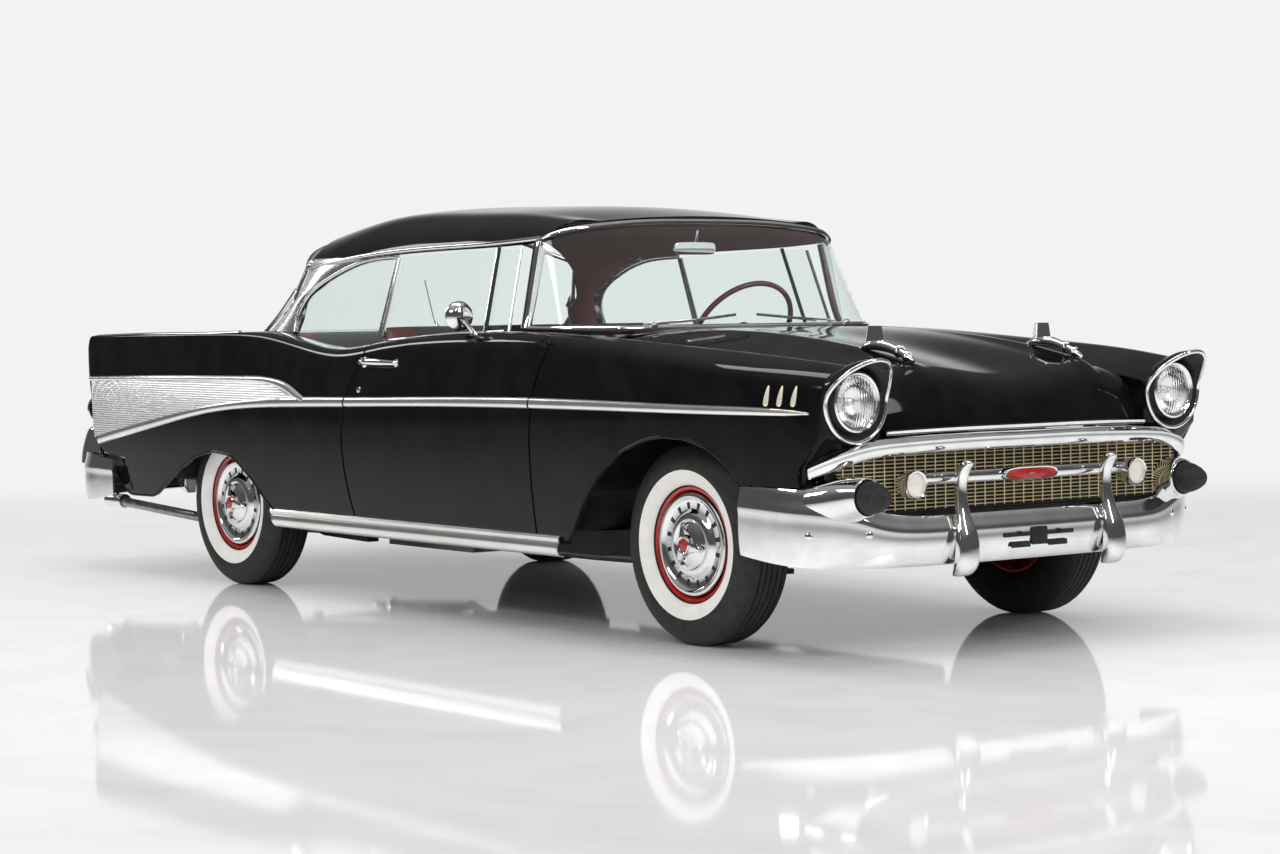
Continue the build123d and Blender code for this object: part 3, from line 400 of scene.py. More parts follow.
def lathe(profile, centre, axis, steps=96, closed=True):
    """Points and faces of a profile of (radius, distance along the axis) turned about an axis."""
    axis = Vector(axis).normalized()
    side = axis.orthogonal().normalized()
    other = axis.cross(side)
    profile = np.asarray(profile, float)
    angles = np.linspace(0, 2 * math.pi, steps, endpoint=False)
    ring = np.outer(np.cos(angles), side) + np.outer(np.sin(angles), other)
    points = (np.asarray(centre, float) + profile[None, :, :1] * ring[:, None, :]
              + profile[None, :, 1:] * np.asarray(axis)[None, None, :])
    nv = len(profile)
    faces = grid_faces(steps, nv, wrap=True)
    if closed:
        faces += [(i * nv + nv - 1, ((i + 1) % steps) * nv + nv - 1, ((i + 1) % steps) * nv, i * nv)
                  for i in range(steps)]
    return points.reshape(-1, 3), faces, nv


def smooth_path(points, count):
    points = np.asarray(points, float)
    if len(points) == 2:
        return points[0] + (points[1] - points[0]) * np.linspace(0, 1, count)[:, None]
    along = np.concatenate([[0], np.cumsum(np.linalg.norm(np.diff(points, axis=0), axis=1))])
    return natural_spline(along, points)(np.linspace(0, along[-1], count))


def tube(path, radius, sides=12, up=(0, 0, 1), loop=False):
    """A rounded bar along a path: radius is one number, (width, height) or one pair for each point."""
    path = np.asarray(path, float)
    radius = np.asarray(radius, float)
    if radius.ndim == 0:
        radius = np.array([radius, radius])
    if radius.ndim == 1:
        radius = np.tile(radius, (len(path), 1))
    if loop:
        way = np.roll(path, -1, 0) - np.roll(path, 1, 0)
    else:
        way = np.gradient(path, axis=0)
    way /= np.maximum(np.linalg.norm(way, axis=1, keepdims=True), 1e-9)
    side = np.cross(way, np.asarray(up, float))
    side /= np.maximum(np.linalg.norm(side, axis=1, keepdims=True), 1e-9)
    rise = np.cross(side, way)
    angles = np.linspace(0, 2 * math.pi, sides, endpoint=False)
    ring = (side[:, None] * np.cos(angles)[None, :, None] * radius[:, None, :1]
            + rise[:, None] * np.sin(angles)[None, :, None] * radius[:, None, 1:])
    points = (path[:, None] + ring).reshape(-1, 3)
    n, faces = len(path), []
    for i in range(n if loop else n - 1):
        k = (i + 1) % n
        for j in range(sides):
            q = (j + 1) % sides
            faces.append((i * sides + j, i * sides + q, k * sides + q, k * sides + j))
    if not loop:
        faces += [tuple(reversed(range(sides))), tuple(range((n - 1) * sides, n * sides))]
    return points, faces


def joined(*parts):
    """Several (points, faces) as one, with the number of the part that each face comes from."""
    points, faces, slots, start = [], [], [], 0
    for number, part in enumerate(parts):
        p, f = part[0], part[1]
        points.append(np.asarray(p, float))
        faces += [tuple(v + start for v in face) for face in f]
        slots += [number] * len(f)
        start += len(p)
    return np.concatenate(points), faces, slots


def block(low, high, round_by=0.0):
    """A box with chamfered edges."""
    low, high = np.asarray(low, float), np.asarray(high, float)
    r = min(round_by, *(high - low) / 2.01)
    points, faces = [], []
    if r <= 0:
        r = 1e-3
    mid, half = (low + high) / 2, (high - low) / 2
    index = {}
    for axis in range(3):
        for sign in (-1, 1):
            quad = []
            b, c = (axis + 1) % 3, (axis + 2) % 3
            for sb, sc in ((-1, -1), (1, -1), (1, 1), (-1, 1)):
                p = np.zeros(3)
                p[axis], p[b], p[c] = sign * half[axis], sb * (half[b] - r), sc * (half[c] - r)
                index[(axis, sign, sb, sc)] = len(points)
                quad.append(len(points))
                points.append(mid + p)
            faces.append(quad if sign > 0 else quad[::-1])
    for axis in range(3):
        b, c = (axis + 1) % 3, (axis + 2) % 3
        for sb in (-1, 1):
            for sc in (-1, 1):
                edge = [index[(b, sb, sc, -1)], index[(b, sb, sc, 1)],
                        index[(c, sc, 1, sb)], index[(c, sc, -1, sb)]]
                faces.append(edge if sb * sc < 0 else edge[::-1])
    for sx in (-1, 1):
        for sy in (-1, 1):
            for sz in (-1, 1):
                tri = [index[(0, sx, sy, sz)], index[(1, sy, sz, sx)], index[(2, sz, sx, sy)]]
                faces.append(tri if sx * sy * sz > 0 else tri[::-1])
    return np.array(points), faces


def ribbon(top, low, depth, rows=5, sink=3.0):
    """A crowned moulding on the left body side between two (distance, height) curves."""
    g = np.linspace(0, 1, rows)
    x = top[:, None, 0] + (low[:, None, 0] - top[:, None, 0]) * g
    z = top[:, None, 1] + (low[:, None, 1] - top[:, None, 1]) * g
    y = side_y(x, z) + depth * np.sin(np.clip(g, 0.0, 1) * math.pi) ** 0.6 - sink * (np.abs(g - 0.5) > 0.49)
    return np.stack([x, y, z], axis=-1)


def lip_row(x, column):
    """The row where the body side ends: at the belt lip beside the cabin, else at the valley."""
    last = column.shape[-2] - 1
    valley = column[..., -1, 0]
    limit = np.interp(x, [-1190, -1060, 940, 1000], [0, 1, 1, 0])
    y_end = valley + (Y_BELT_LIP - valley) * limit
    return np.where(y_end > valley + 0.5, row_at(column, y_end, axis=0), last)


def arch_line(points, soften=6):
    """The height of the lower edge along the car, with its corners a little rounded."""
    x = np.linspace(points[0][0], points[-1][0], 700)
    z = np.interp(x, [p[0] for p in points], [p[1] for p in points])
    z = softened(z[None], soften * 14)[0]
    return lambda at: np.interp(at, x, z)


def nose_x(z):
    """The front end of a fender: upright beside the lamp and drawn back below it."""
    return 2368.0 - 82 * np.clip((704 - np.asarray(z, float)) / 100, 0, 1)


def build_side_panels():
    edge_a, edge_b, tail = line(DOOR_FRONT_EDGE), line(DOOR_REAR_EDGE), line(TAIL_EDGE)
    front_low, rear_low = arch_line(FRONT_ARCH), arch_line(REAR_ARCH)
    fender = side_panel(nose_x, lambda z: edge_a(z) + PANEL_GAP, front_low, lip_row,
                        (130, 74), (0.0014, 0.003))
    door = side_panel(edge_a, edge_b, lambda x: 322.0 + 0 * x, lip_row, (110, 74), (0.0016, 0.003))
    quarter = side_panel(lambda z: edge_b(z) - PANEL_GAP, tail, rear_low, lip_row, (190, 74), (0.001, 0.003))
    for side, turn in (("left", False), ("right", True)):
        put = mirror_points if turn else np.asarray
        sheet_piece(f"fender_skin_{side}", put(fender), 18, ["paint", "black"], "body", flip=not turn,
                    replaces=[f"front_fender_{side}"], slot="black_paint")
        sheet_piece(f"quarter_skin_{side}", put(quarter), 18, ["paint", "black"], "body", flip=not turn,
                    replaces=[f"quarter_panel_{side}"], slot="black_paint")
        sheet_piece(f"door_skin_{side}", put(door), 20, ["paint", "black"], f"door_{side}", flip=not turn,
                    replaces=[f"door_{side}"], slot="black_paint")


# the hood across the car: half width, height at its rear, middle and front, the nose
HOOD_STATIONS = np.array([(-670, 1000, 938, 862, 2335), (-383, 1030, 1006, 918, 2392), (0, 1038, 1000, 900, 2412),
                          (383, 1030, 1006, 918, 2392), (670, 1000, 938, 862, 2335)], float)
HOOD_EDGE = ([1100, 1668, 2150, 2500], [645, 608, 586, 586])
RIDGE = 383.0


def hood_points(steps_across=90, steps_along=90):
    v = fractions(steps_across, 0.0025) * 2 - 1
    p = np.concatenate([np.linspace(0, 1, steps_along), 1 + np.linspace(0, 1, 26)[1:]])
    p = np.insert(p, 1, 0.002)
    p = np.insert(p, -1, 1.99)
    v, p = np.meshgrid(v, p, indexing="ij")
    profile = natural_spline(HOOD_STATIONS[:, 0], HOOD_STATIONS[:, 1:])
    x = np.full_like(v, 1700.0)
    for _ in range(5):
        y = v * np.interp(x, *HOOD_EDGE)
        z_rear, z_mid, z_front, nose = np.moveaxis(profile(y), -1, 0)
        x_front = nose - 130
        top = np.clip(p, 0, 1)
        along = 1100 + (x_front - 1100) * top
        a, b, c = 1100.0, 1700.0, x_front
        z_top = (z_rear * (along - b) * (along - c) / ((a - b) * (a - c)) + z_mid * (along - a) * (along - c)
                 / ((b - a) * (b - c)) + z_front * (along - a) * (along - b) / ((c - a) * (c - b)))
        slope = (z_rear * (c - b) / ((a - b) * (a - c)) + z_mid * (c - a) / ((b - a) * (b - c))
                 + z_front * ((c - a) + (c - b)) / ((c - a) * (c - b)))
        q = np.clip(p - 1, 0, 1)
        knee_x, knee_z = x_front + 120, z_front + slope * 120
        x_nose = (1 - q) ** 2 * x_front + 2 * q * (1 - q) * knee_x + q ** 2 * nose
        z_nose = (1 - q) ** 2 * z_front + 2 * q * (1 - q) * knee_z + q ** 2 * 712
        x = np.where(p <= 1, along, x_nose)
    z = np.where(p <= 1, z_top, z_nose)
    fade = np.clip((x - 1150) / 900, 0, 1) ** 1.2 * np.clip((z - 800) / 90, 0, 1)
    z = z + 16 * fade * np.exp(-((np.abs(y) - RIDGE) / 44) ** 2)
    z = z - 10 * fade * np.exp(-(y / 210) ** 2)
    return np.stack([x, y, z], axis=-1)


ROOF_STATIONS = np.array([(752, 1443, 470, 1420, 655, 1366), (440, 1482, 490, 1455, 682, 1348),
                          (-26, 1501, 495, 1472, 690, 1336), (-523, 1503, 490, 1468, 694, 1310),
                          (-930, 1462, 462, 1412, 668, 1270)], float)[::-1]
ROOF_FRONT = ([-760, -716, -674, -590, -430, 0, 430, 590, 674, 716, 760],
              [660, 668, 676, 712, 744, 756, 744, 712, 676, 668, 660])


def roof_points(drop=0.0, steps_along=110):
    """The roof from drip rail to drip rail; drop lowers it for the lining."""
    spline = natural_spline(ROOF_STATIONS[:, 0], ROOF_STATIONS[:, 1:])
    corner = np.linspace(0, 1, 22)[:-1]
    crown = np.linspace(1, -1, 90)
    f = fractions(steps_along, 0.0012)[:, None]

    def section(x):
        z_mid, y_s, z_s, y_e, z_e = np.moveaxis(spline(x), -1, 0)
        ya, za = y_e - drop * 0.8, z_e
        yb, zb = y_s - drop * 0.3, z_s - drop
        length = np.hypot(yb - ya, zb - za)
        out = 4 * 28 * corner * (1 - corner)
        y_c = ya[:, None] + (yb - ya)[:, None] * corner + out * ((zb - za) / length)[:, None]
        z_c = za[:, None] + (zb - za)[:, None] * corner - out * ((yb - ya) / length)[:, None]
        y_t = yb[:, None] * crown
        z_t = (z_mid - drop)[:, None] - (z_mid - drop - zb)[:, None] * crown ** 2
        rows = np.stack([np.concatenate([y_c, y_t, -y_c[:, ::-1]], 1),
                         np.concatenate([z_c, z_t, z_c[:, ::-1]], 1)], -1)
        return softened(rows, 10)

    dense_x = np.linspace(-940, 770, 300)
    table = section(dense_x)
    x = np.full((len(f), table.shape[1]), 0.0)
    for _ in range(6):
        at = np.clip((x - dense_x[0]) / (dense_x[1] - dense_x[0]), 0, len(dense_x) - 1.001)
        k = at.astype(int)
        w = (at - k)[..., None]
        rows = np.arange(table.shape[1])[None, :]
        yz = table[k, rows] * (1 - w) + table[k + 1, rows] * w
        x = -930 + (np.interp(yz[..., 0], *ROOF_FRONT) + 930 - drop * 0.2) * f
    return np.stack([x, yz[..., 0], yz[..., 1]], axis=-1)


# the rear pillar by height: height, rear and front distance, inner and outer half width
REAR_PILLAR = np.array([(1020, -1122, -874, 722, 759), (1090, -1032, -852, 706, 741), (1160, -958, -828, 690, 722),
                        (1200, -940, -752, 674, 711), (1246, -926, -672, 655, 698), (1280, -912, -560, 640, 690),
                        (1312, -900, -470, 622, 681)], float)


def pillar_points():
    spline = natural_spline(REAR_PILLAR[:, 0], REAR_PILLAR[:, 1:])
    z = np.linspace(1012, 1312, 60)
    rear, front, _, outer = spline(z).T
    f = fractions(34, 0.01)[:, None]
    x = rear + (front - rear) * f
    y = outer + 7 * np.sin(f * math.pi) ** 0.7 - 30 * (1 - f) ** 3
    return np.stack([x, y, z + 0 * f], axis=-1)


def build_hood():
    sheet_piece("hood_skin", hood_points(), 18, ["paint", "black"], "hood", flip=True, replaces=["hood"],
                slot="black_paint")


def build_roof():
    sheet_piece("roof_skin", roof_points(), 20, ["paint", "liner"], "body", flip=True, replaces=["roof"],
                slot="black_paint")
    for side, sign in (("left", 1), ("right", -1)):
        put = np.asarray if sign > 0 else mirror_points
        sheet_piece(f"rear_pillar_{side}", put(pillar_points()), 22, ["satin", "liner"], "body", flip=sign > 0,
                    slot="chrome")
    lining = roof_points(24, 70)
    across = np.linspace(0, 1, lining.shape[0])
    lining[..., 2] -= 3 + 3 * np.abs(np.sin(across * math.pi * 5))[:, None]
    sheet_piece("roof_lining", lining[2:-2, 3:-3], 4, ["liner"], "body", flip=True, slot="seat_cloth")


def boot_points():
    y_rows = [(-620, 34), (-380, 10), (0, 0), (380, 10), (620, 34)]
    drop = natural_spline([r[0] for r in y_rows], [r[1] for r in y_rows])
    y = (fractions(90, 0.003) * 2 - 1)[:, None]
    p = np.concatenate([[0, 0.002], np.linspace(0.01, 1, 60), 1 + np.linspace(0, 1, 40)[1:-1], [1.99, 2]])[None, :]
    half = np.interp(np.clip(p, 0, 2), [0, 2], [612, 602])
    yy = y * half
    low = drop(yy)
    q = np.clip(p, 0, 1)
    x_top = -1463 + q * (-2200 + 1463)
    a, b, c = -1463.0, -1850.0, -2200.0
    z_top = (1010 * (x_top - b) * (x_top - c) / ((a - b) * (a - c)) + 992 * (x_top - a) * (x_top - c)
             / ((b - a) * (b - c)) + 940 * (x_top - a) * (x_top - b) / ((c - a) * (c - b))) - low
    r = np.clip(p - 1, 0, 1)
    x_tail = (1 - r) ** 2 * -2200 + 2 * r * (1 - r) * -2318 + r ** 2 * -2330
    z_tail = (1 - r) ** 2 * (940 - low) + 2 * r * (1 - r) * (922 - low) + r ** 2 * 610
    x = np.where(p <= 1, x_top, x_tail)
    z = np.where(p <= 1, z_top, z_tail)
    return np.stack([x + 0 * yy, yy + 0 * x, z], axis=-1)


def build_boot_lid():
    sheet_piece("boot_lid_skin", boot_points(), 18, ["paint", "black"], "boot_lid", replaces=["boot_lid"],
                slot="black_paint")


SIDES = (("left", 1), ("right", -1))
SPEAR = np.array([(2336, 783, 781), (2300, 788, 778), (2200, 795, 775), (1885, 799, 773), (945, 803, 770),
                  (338, 794, 762), (-247, 781, 748), (-521, 776, 741), (-1256, 728, 701), (-1700, 665, 632),
                  (-2183, 588, 551), (-2240, 578, 541)], float)[::-1]
UPPER_MOULDING = np.array([(-2290, 828, 812), (-1510, 843, 826), (-1000, 848, 829), (-829, 847, 824),
                           (-740, 838, 812), (-657, 819, 790), (-600, 797, 770), (-540, 773, 757)], float)


def strip_curves(table, ends, count):
    """The upper and lower (distance, height) curves of a moulding between two distances."""
    spline = natural_spline(table[:, 0], table[:, 1:])
    x = np.linspace(ends[0], ends[1], count)
    top, low = spline(x).T
    return np.stack([x, top], -1), np.stack([x, low], -1)


def side_strip(name, curves, depth, finish_name, body, side, rows=9, **rest):
    points = ribbon(curves[0], curves[1], depth, rows)
    if side == "right":
        points = mirror_points(points)
    sheet_piece(name, points, 3, [finish_name], body, flip=side == "right", roll=0.6, **rest)


def build_side_trim():
    for side, sign in SIDES:
        side_strip(f"fender_spear_{side}", strip_curves(SPEAR, (2336, 949), 90), 6, "spear", "body", side,
                   replaces=["side_trim"], slot="side_trim_metal")
        side_strip(f"door_spear_{side}", strip_curves(SPEAR, (939, -243), 80), 6, "spear", f"door_{side}", side,
                   replaces=[f"door_trim_{side}"], slot="side_trim_metal")
        side_strip(f"rear_spear_{side}", strip_curves(SPEAR, (-254, -2240), 130), 6, "spear", "body", side,
                   slot="side_trim_metal")
        side_strip(f"upper_moulding_{side}", strip_curves(UPPER_MOULDING, (-540, -2290), 130), 7, "spear", "body",
                   side, slot="side_trim_metal")
        ribbed_panel(side)
        fin_cap(side, sign)
        louvres(side, sign)
        door_handle(side, sign)
        rocker(side, sign)
        arch_lips(side, sign)


def arch_lips(side, sign):
    """The rolled lips round the wheel openings."""
    parts = []
    for outline, ends in ((FRONT_ARCH, (1108, 2100)), (REAR_ARCH, (-2030, -800))):
        x = np.linspace(*ends, 160)
        z = arch_line(outline)(x) + 3
        path = np.stack([x, side_y(x, np.maximum(z, Z_SILL)) - 2, z], -1)
        parts.append(tube(path, (5.5, 5.5), 12, up=(0, 1, 0)))
    points, faces, _ = joined(*parts)
    add_mesh(f"arch_lips_{side}", points * (1, sign, 1), faces if sign > 0 else flipped(faces), ["paint"], "body",
             angle=50, slot="black_paint")


RIB_START = 830.0
RIB_PITCH = 9.5


def ribbed_panel(side):
    """The finely ribbed bright panel between the two rear mouldings."""
    x = np.linspace(-585, -2272, 110)
    top = natural_spline(UPPER_MOULDING[:, 0], UPPER_MOULDING[:, 2])(x) + 3
    low = natural_spline(SPEAR[:, 0], SPEAR[:, 1])(x) - 3
    low = np.minimum(low, top - 1)
    ribs = 26
    g = np.linspace(0, 1, ribs * 4 + 1)
    z = top[:, None] + (low - top)[:, None] * g
    grid_x = x[:, None] + 0 * g
    lift = 2.2 + 1.1 * np.cos((z - RIB_START) * 2 * math.pi / RIB_PITCH)
    points = np.stack([grid_x, side_y(grid_x, z) + lift, z], -1)
    if side == "right":
        points = mirror_points(points)
    sheet_piece(f"ribbed_panel_{side}", points, 2, ["ribbed"], "body", flip=side == "right", roll=0.4,
                slot="side_trim_metal")


def fin_cap(side, sign):
    """The bright edge on the fin's crest, turned down its rear end."""
    x = np.linspace(-1120, -2326, 90)
    column = side_column(x)
    crest = np.stack([x, column[:, CROWN, 0] - 4, column[:, CROWN, 1] + 2], -1)
    z = np.linspace(1000, 585, 40)
    x_tail = np.interp(z, [p[1] for p in TAIL_EDGE], [p[0] for p in TAIL_EDGE]) - 2
    down = np.stack([x_tail, side_y(x_tail, z) - 6, z], -1)
    path = np.concatenate([crest, down])
    path[:, 1] *= sign
    smooth = softened(path[None], 3)[0]
    width = np.tile([[9.0, 4.0]], (len(smooth), 1))
    points, faces = tube(smooth, width, 12, up=(0, 0.4 * sign, 1))
    add_mesh(f"fin_cap_{side}", points, faces, ["chrome"], "body", angle=50, slot="chrome")


def louvres(side, sign):
    """Three slim bright louvres on the side of a front fender."""
    parts = []
    for x in (2172, 2224, 2276):
        g = np.linspace(0, 1, 14)
        z = 803 + 65 * g
        lean = x - 5 + 7 * g
        ends = np.minimum(1, 1.5 * (1.02 - g)) ** 0.5 * np.minimum(1, 0.5 + 6 * g)
        path = np.stack([lean, side_y(lean, z) + 1.0, z], -1)
        parts.append(tube(path, np.stack([11.5 * ends, 4.5 * ends], -1), 14, up=(0, 1, 0)))
    points, faces, _ = joined(*parts)
    points = points * (1, sign, 1)
    add_mesh(f"louvres_{side}", points, faces if sign > 0 else flipped(faces), ["louvre"], "body", angle=45)


def door_handle(side, sign):
    x = np.linspace(-158, 84, 30)
    out = side_y(x, 0 * x + 914)
    lift = 20 * np.sin(np.linspace(0, math.pi, 30)) ** 0.35
    g = np.linspace(0, 1, 30)
    wide = np.stack([6.5 + 5 * np.sin(g * math.pi), 8 + 6 * (1 - g) ** 2 + 3 * np.sin(g * math.pi)], -1)
    bar = tube(np.stack([x, np.minimum(out + 4 + lift, 935), 914 + 5 * (1 - g)], -1), wide, 16, up=(0, 0, 1))
    parts = [bar]
    for at, radius in ((-146, 20), (70, 15)):
        y = float(side_y(np.array(at), np.array(914.0)))
        base = lathe([(0.5, 6), (radius * 0.8, 6), (radius, 3), (radius, -3), (0.5, -3)], (at, y, 914),
                     (0, 1, 0.15), 32)
        parts.append(base[:2])
    y = float(side_y(np.array(-157), np.array(808.0)))
    lock = lathe([(0.5, 4), (7, 4), (11, 3), (12, 0), (12, -3), (0.5, -3)], (-157, y, 812), (0, 1, 0), 28)
    parts.append(lock[:2])
    button = lathe([(0.5, 9), (8, 9), (9, 7), (9, 0), (0.5, 0)], (-146, min(928.0, float(out[0]) + 20), 915),
                   (0, 1, 0), 24)
    parts.append(button[:2])
    points, faces, _ = joined(*parts)
    add_mesh(f"door_handle_{side}", points * (1, sign, 1), faces if sign > 0 else flipped(faces), ["chrome"],
             f"door_{side}", angle=40, slot="chrome")


def rocker(side, sign):
    """The pale ribbed moulding along the sill."""
    shape = [(903, 331), (907, 324), (906, 316), (902, 312), (904, 306), (908, 300), (908, 284), (902, 272),
             (892, 264), (880, 262)]
    rows = []
    for y, z in shape:
        slant = (320 - z) * 0.45
        x = np.linspace(1076 - slant * 0.4, -836 + slant, 60)
        rows.append(np.stack([x, np.full(60, y), np.full(60, z)], -1))
    points = np.stack(rows, axis=1) * (1, sign, 1)
    sheet_piece(f"rocker_{side}", points, 4, ["spear"], "body", flip=sign < 0, roll=0.5,
                replaces=["rocker_mouldings"], slot="side_trim_metal")


LAMP = np.array([2372.0, 722.0, 816.0])
RIM_RADIUS = 127.0


def lamp_ring(radius, reach, visor, count=128):
    """A ring round the lamp's axis whose top is drawn forward into a visor."""
    a = np.linspace(0, 2 * math.pi, count, endpoint=False)
    up = np.clip(np.sin(a), 0, 1) ** 1.5
    return np.column_stack([reach + visor * up, radius * np.cos(a), radius * np.sin(a) + 4 * up])


def build_headlamps():
    for side, sign in SIDES:
        centre = LAMP * (1, sign, 1)
        rim = tube(lamp_ring(RIM_RADIUS, 20, 108), (7.0, 7.0), 12, up=(1, 0, 0), loop=True)
        rows = [lamp_ring(r, x, v)
                for r, x, v in ((122, 20, 106), (117, 12, 92), (108, 4, 40), (101, -2, 0), (98, -12, 0))]
        funnel = np.stack(rows, 1).reshape(-1, 3), flipped(grid_faces(128, len(rows), wrap=True))
        ring = lathe([(82, 20), (85, 29), (90, 32), (96, 28), (99, 16), (100, -8), (80, -8)], (0, 0, 0),
                     (1, 0, 0), 96)
        points, faces, numbers = joined(rim, funnel, ring[:2])
        slots = [1 if n == 1 else 0 for n in numbers]
        add_mesh(f"headlamp_bezel_{side}", points + centre, faces, ["chrome", "black"], "body", slots, angle=40,
                 replaces=["headlamp_bezels"], slot="chrome")
        bowl = lathe([(0.5, -34), (30, -28), (55, -14), (74, 6), (83, 22), (83, 18), (60, -20), (0.5, -40)],
                     (0, 0, 0), (1, 0, 0), 64)
        bulb = lathe([(0.5, 6), (10, 2), (13, -8), (12, -28), (0.5, -28)], (0, 0, 0), (1, 0, 0), 24)
        points, faces, _ = joined(bowl[:2], bulb[:2])
        add_mesh(f"headlamp_bowl_{side}", points + centre, faces, ["reflector"], "body", slot="chrome")
        lens = lathe([(0.5, 42), (25, 40.5), (50, 36), (68, 30), (83, 23), (83, 19), (50, 31), (0.5, 37)],
                     (0, 0, 0), (1, 0, 0), 72)
        add_mesh(f"headlamp_lens_{side}", lens[0] + centre, lens[1], ["lamp_glass"], "body",
                 replaces=["headlamp_lenses"], slot="lamp_glass")
        fender_face(side, sign)


def fender_face(side, sign):
    """The painted front end of a fender, from its skin to the rim round the lamp."""
    column = side_column(np.array([2368.0]))[0]
    edge = column[column[:, 1] > 556]
    outer = np.concatenate([[(604, 560), (720, 556)], [(edge[0, 0] - 30, 556)], edge,
                            [(600, 800), (600, 700), (602, 600)]])
    ring = closed_loop(outer, 160)
    a = np.arctan2(ring[:, 1] - LAMP[2], ring[:, 0] - LAMP[1])
    rows = []
    inner = np.stack([LAMP[1] + 130 * np.cos(a), LAMP[2] + 130 * np.sin(a)], -1)
    up = np.clip(np.sin(a), 0, 1) ** 1.5
    for g, x, visor in ((0, 0, 0), (0.06, 5, 4), (0.25, 9, 14), (0.6, 13, 34), (0.85, 15, 56), (1.0, 17, 78),
                        (1.0, 21, 104), (0.98, 22, 108)):
        yz = ring * (1 - g) + inner * g
        rows.append(np.column_stack([nose_x(yz[:, 1]) - 2 + x + visor * up, yz[:, 0], yz[:, 1] + 4 * up * g]))
    points = np.stack(rows, axis=1)
    verts = points.reshape(-1, 3) * (1, sign, 1)
    faces = grid_faces(len(points), points.shape[1], wrap=True)
    add_mesh(f"fender_face_{side}", verts, flipped(faces) if sign > 0 else faces, ["paint"], "body", angle=50,
             slot="black_paint")


# the bumper bars: distance, half width, heading of the face, lowest and highest point, bulge
FRONT_BAR = np.array([(2444, 0, 0, 290, 450, 26), (2442, 200, 3, 290, 450, 26), (2436, 400, 8, 290, 450, 26),
                      (2424, 560, 14, 291, 456, 25), (2404, 660, 24, 292, 482, 23), (2378, 745, 38, 294, 520, 20),
                      (2330, 830, 54, 297, 540, 17), (2250, 888, 72, 305, 546, 14), (2160, 911, 83, 316, 548, 11),
                      (2062, 920, 88, 330, 547, 9)], float)
REAR_BAR = np.array([(-2512, 0, 180, 320, 480, 24), (-2510, 200, 178, 320, 480, 24),
                     (-2504, 400, 175, 318, 482, 24), (-2486, 600, 166, 313, 486, 22),
                     (-2462, 740, 150, 308, 492, 20), (-2400, 868, 125, 300, 500, 12),
                     (-2320, 915, 108, 300, 500, 8), (-2200, 932, 95, 312, 492, 5),
                     (-2065, 934, 91, 330, 480, 4)], float)


def bar_points(table, rows=26, steps=110):
    """The face of a bumper bar from its right end to its left end."""
    way = np.concatenate([-np.arange(len(table))[:0:-1], np.arange(len(table))]).astype(float)
    other = table[:0:-1] * (1, -1, -1, 1, 1, 1)
    if table[0, 2] > 90:
        other[:, 2] += 360
    spline = natural_spline(way, np.concatenate([other, table]))
    s = np.linspace(way[0], way[-1], steps * 2 + 1)
    x, y, heading, low, high, bulge = spline(s).T
    g = np.linspace(0, 1, rows)
    out = np.stack([np.cos(np.radians(heading)), np.sin(np.radians(heading))], -1)
    swell = bulge[:, None] * (np.sin(g * math.pi)[None] ** 0.75) + 4.0 * np.exp(-((g - 0.72) / 0.09) ** 2)[None]
    points = np.stack([x[:, None] + out[:, :1] * swell, y[:, None] + out[:, 1:] * swell,
                       low[:, None] + (high - low)[:, None] * g], -1)
    return points


def build_bumpers():
    points = bar_points(FRONT_BAR)
    parts = [slab(points, 9, flip=False, roll=1.0)[:2]]
    for sign in (1, -1):
        parts.append(guard(sign))
        parts.append(pod(sign))
        for y in (690, 860):
            parts.append(bolt(points, sign * y, 400))
    all_points, faces, _ = joined(*parts)
    add_mesh("front_bumper_bar", all_points, faces, ["chrome"], "body", angle=40, replaces=["front_bumper"],
             slot="chrome")
    for side, sign in SIDES:
        bullet = lathe([(46, 0), (51, 6), (52, 18), (48, 40), (39, 64), (27, 84), (13, 96), (0.5, 99), (0.5, 0)],
                       (2441, sign * 721, 520), (1, 0, 0), 72)
        add_mesh(f"bumper_tip_{side}", *bullet[:2], ["rubber"], "body", replaces=["bumper_tips"], slot="rubber")
    plate_bracket()
    rear = bar_points(REAR_BAR)
    parts = [slab(rear, 9, flip=False, roll=1.0)[:2]]
    for sign in (1, -1):
        parts.append(rear_guard(sign))
        parts.append(rear_pod(sign))
    all_points, faces, _ = joined(*parts)
    add_mesh("rear_bumper_bar", all_points, faces, ["chrome"], "body", angle=40, replaces=["rear_bumper"],
             slot="chrome")


def lofted(sections, sides=28, power=2.6):
    """A closed form through (x, y, z, half depth along X, half width along Y) ovals, from low to high."""
    a = np.linspace(0, 2 * math.pi, sides, endpoint=False)
    c, s = np.cos(a), np.sin(a)
    c, s = np.sign(c) * np.abs(c) ** (2 / power), np.sign(s) * np.abs(s) ** (2 / power)
    spline_at = np.linspace(0, len(sections) - 1, len(sections) * 6)
    values = natural_spline(np.arange(len(sections)), np.array(sections, float))(spline_at)
    rings = [np.column_stack([x + hx * c, y + hy * s, np.full(sides, z)]) for x, y, z, hx, hy in values]
    points = np.concatenate(rings)
    faces = [(i * sides + j, i * sides + (j + 1) % sides, (i + 1) * sides + (j + 1) % sides, (i + 1) * sides + j)
             for i in range(len(rings) - 1) for j in range(sides)]
    faces += [tuple(reversed(range(sides))), tuple(range((len(rings) - 1) * sides, len(rings) * sides))]
    return points, faces


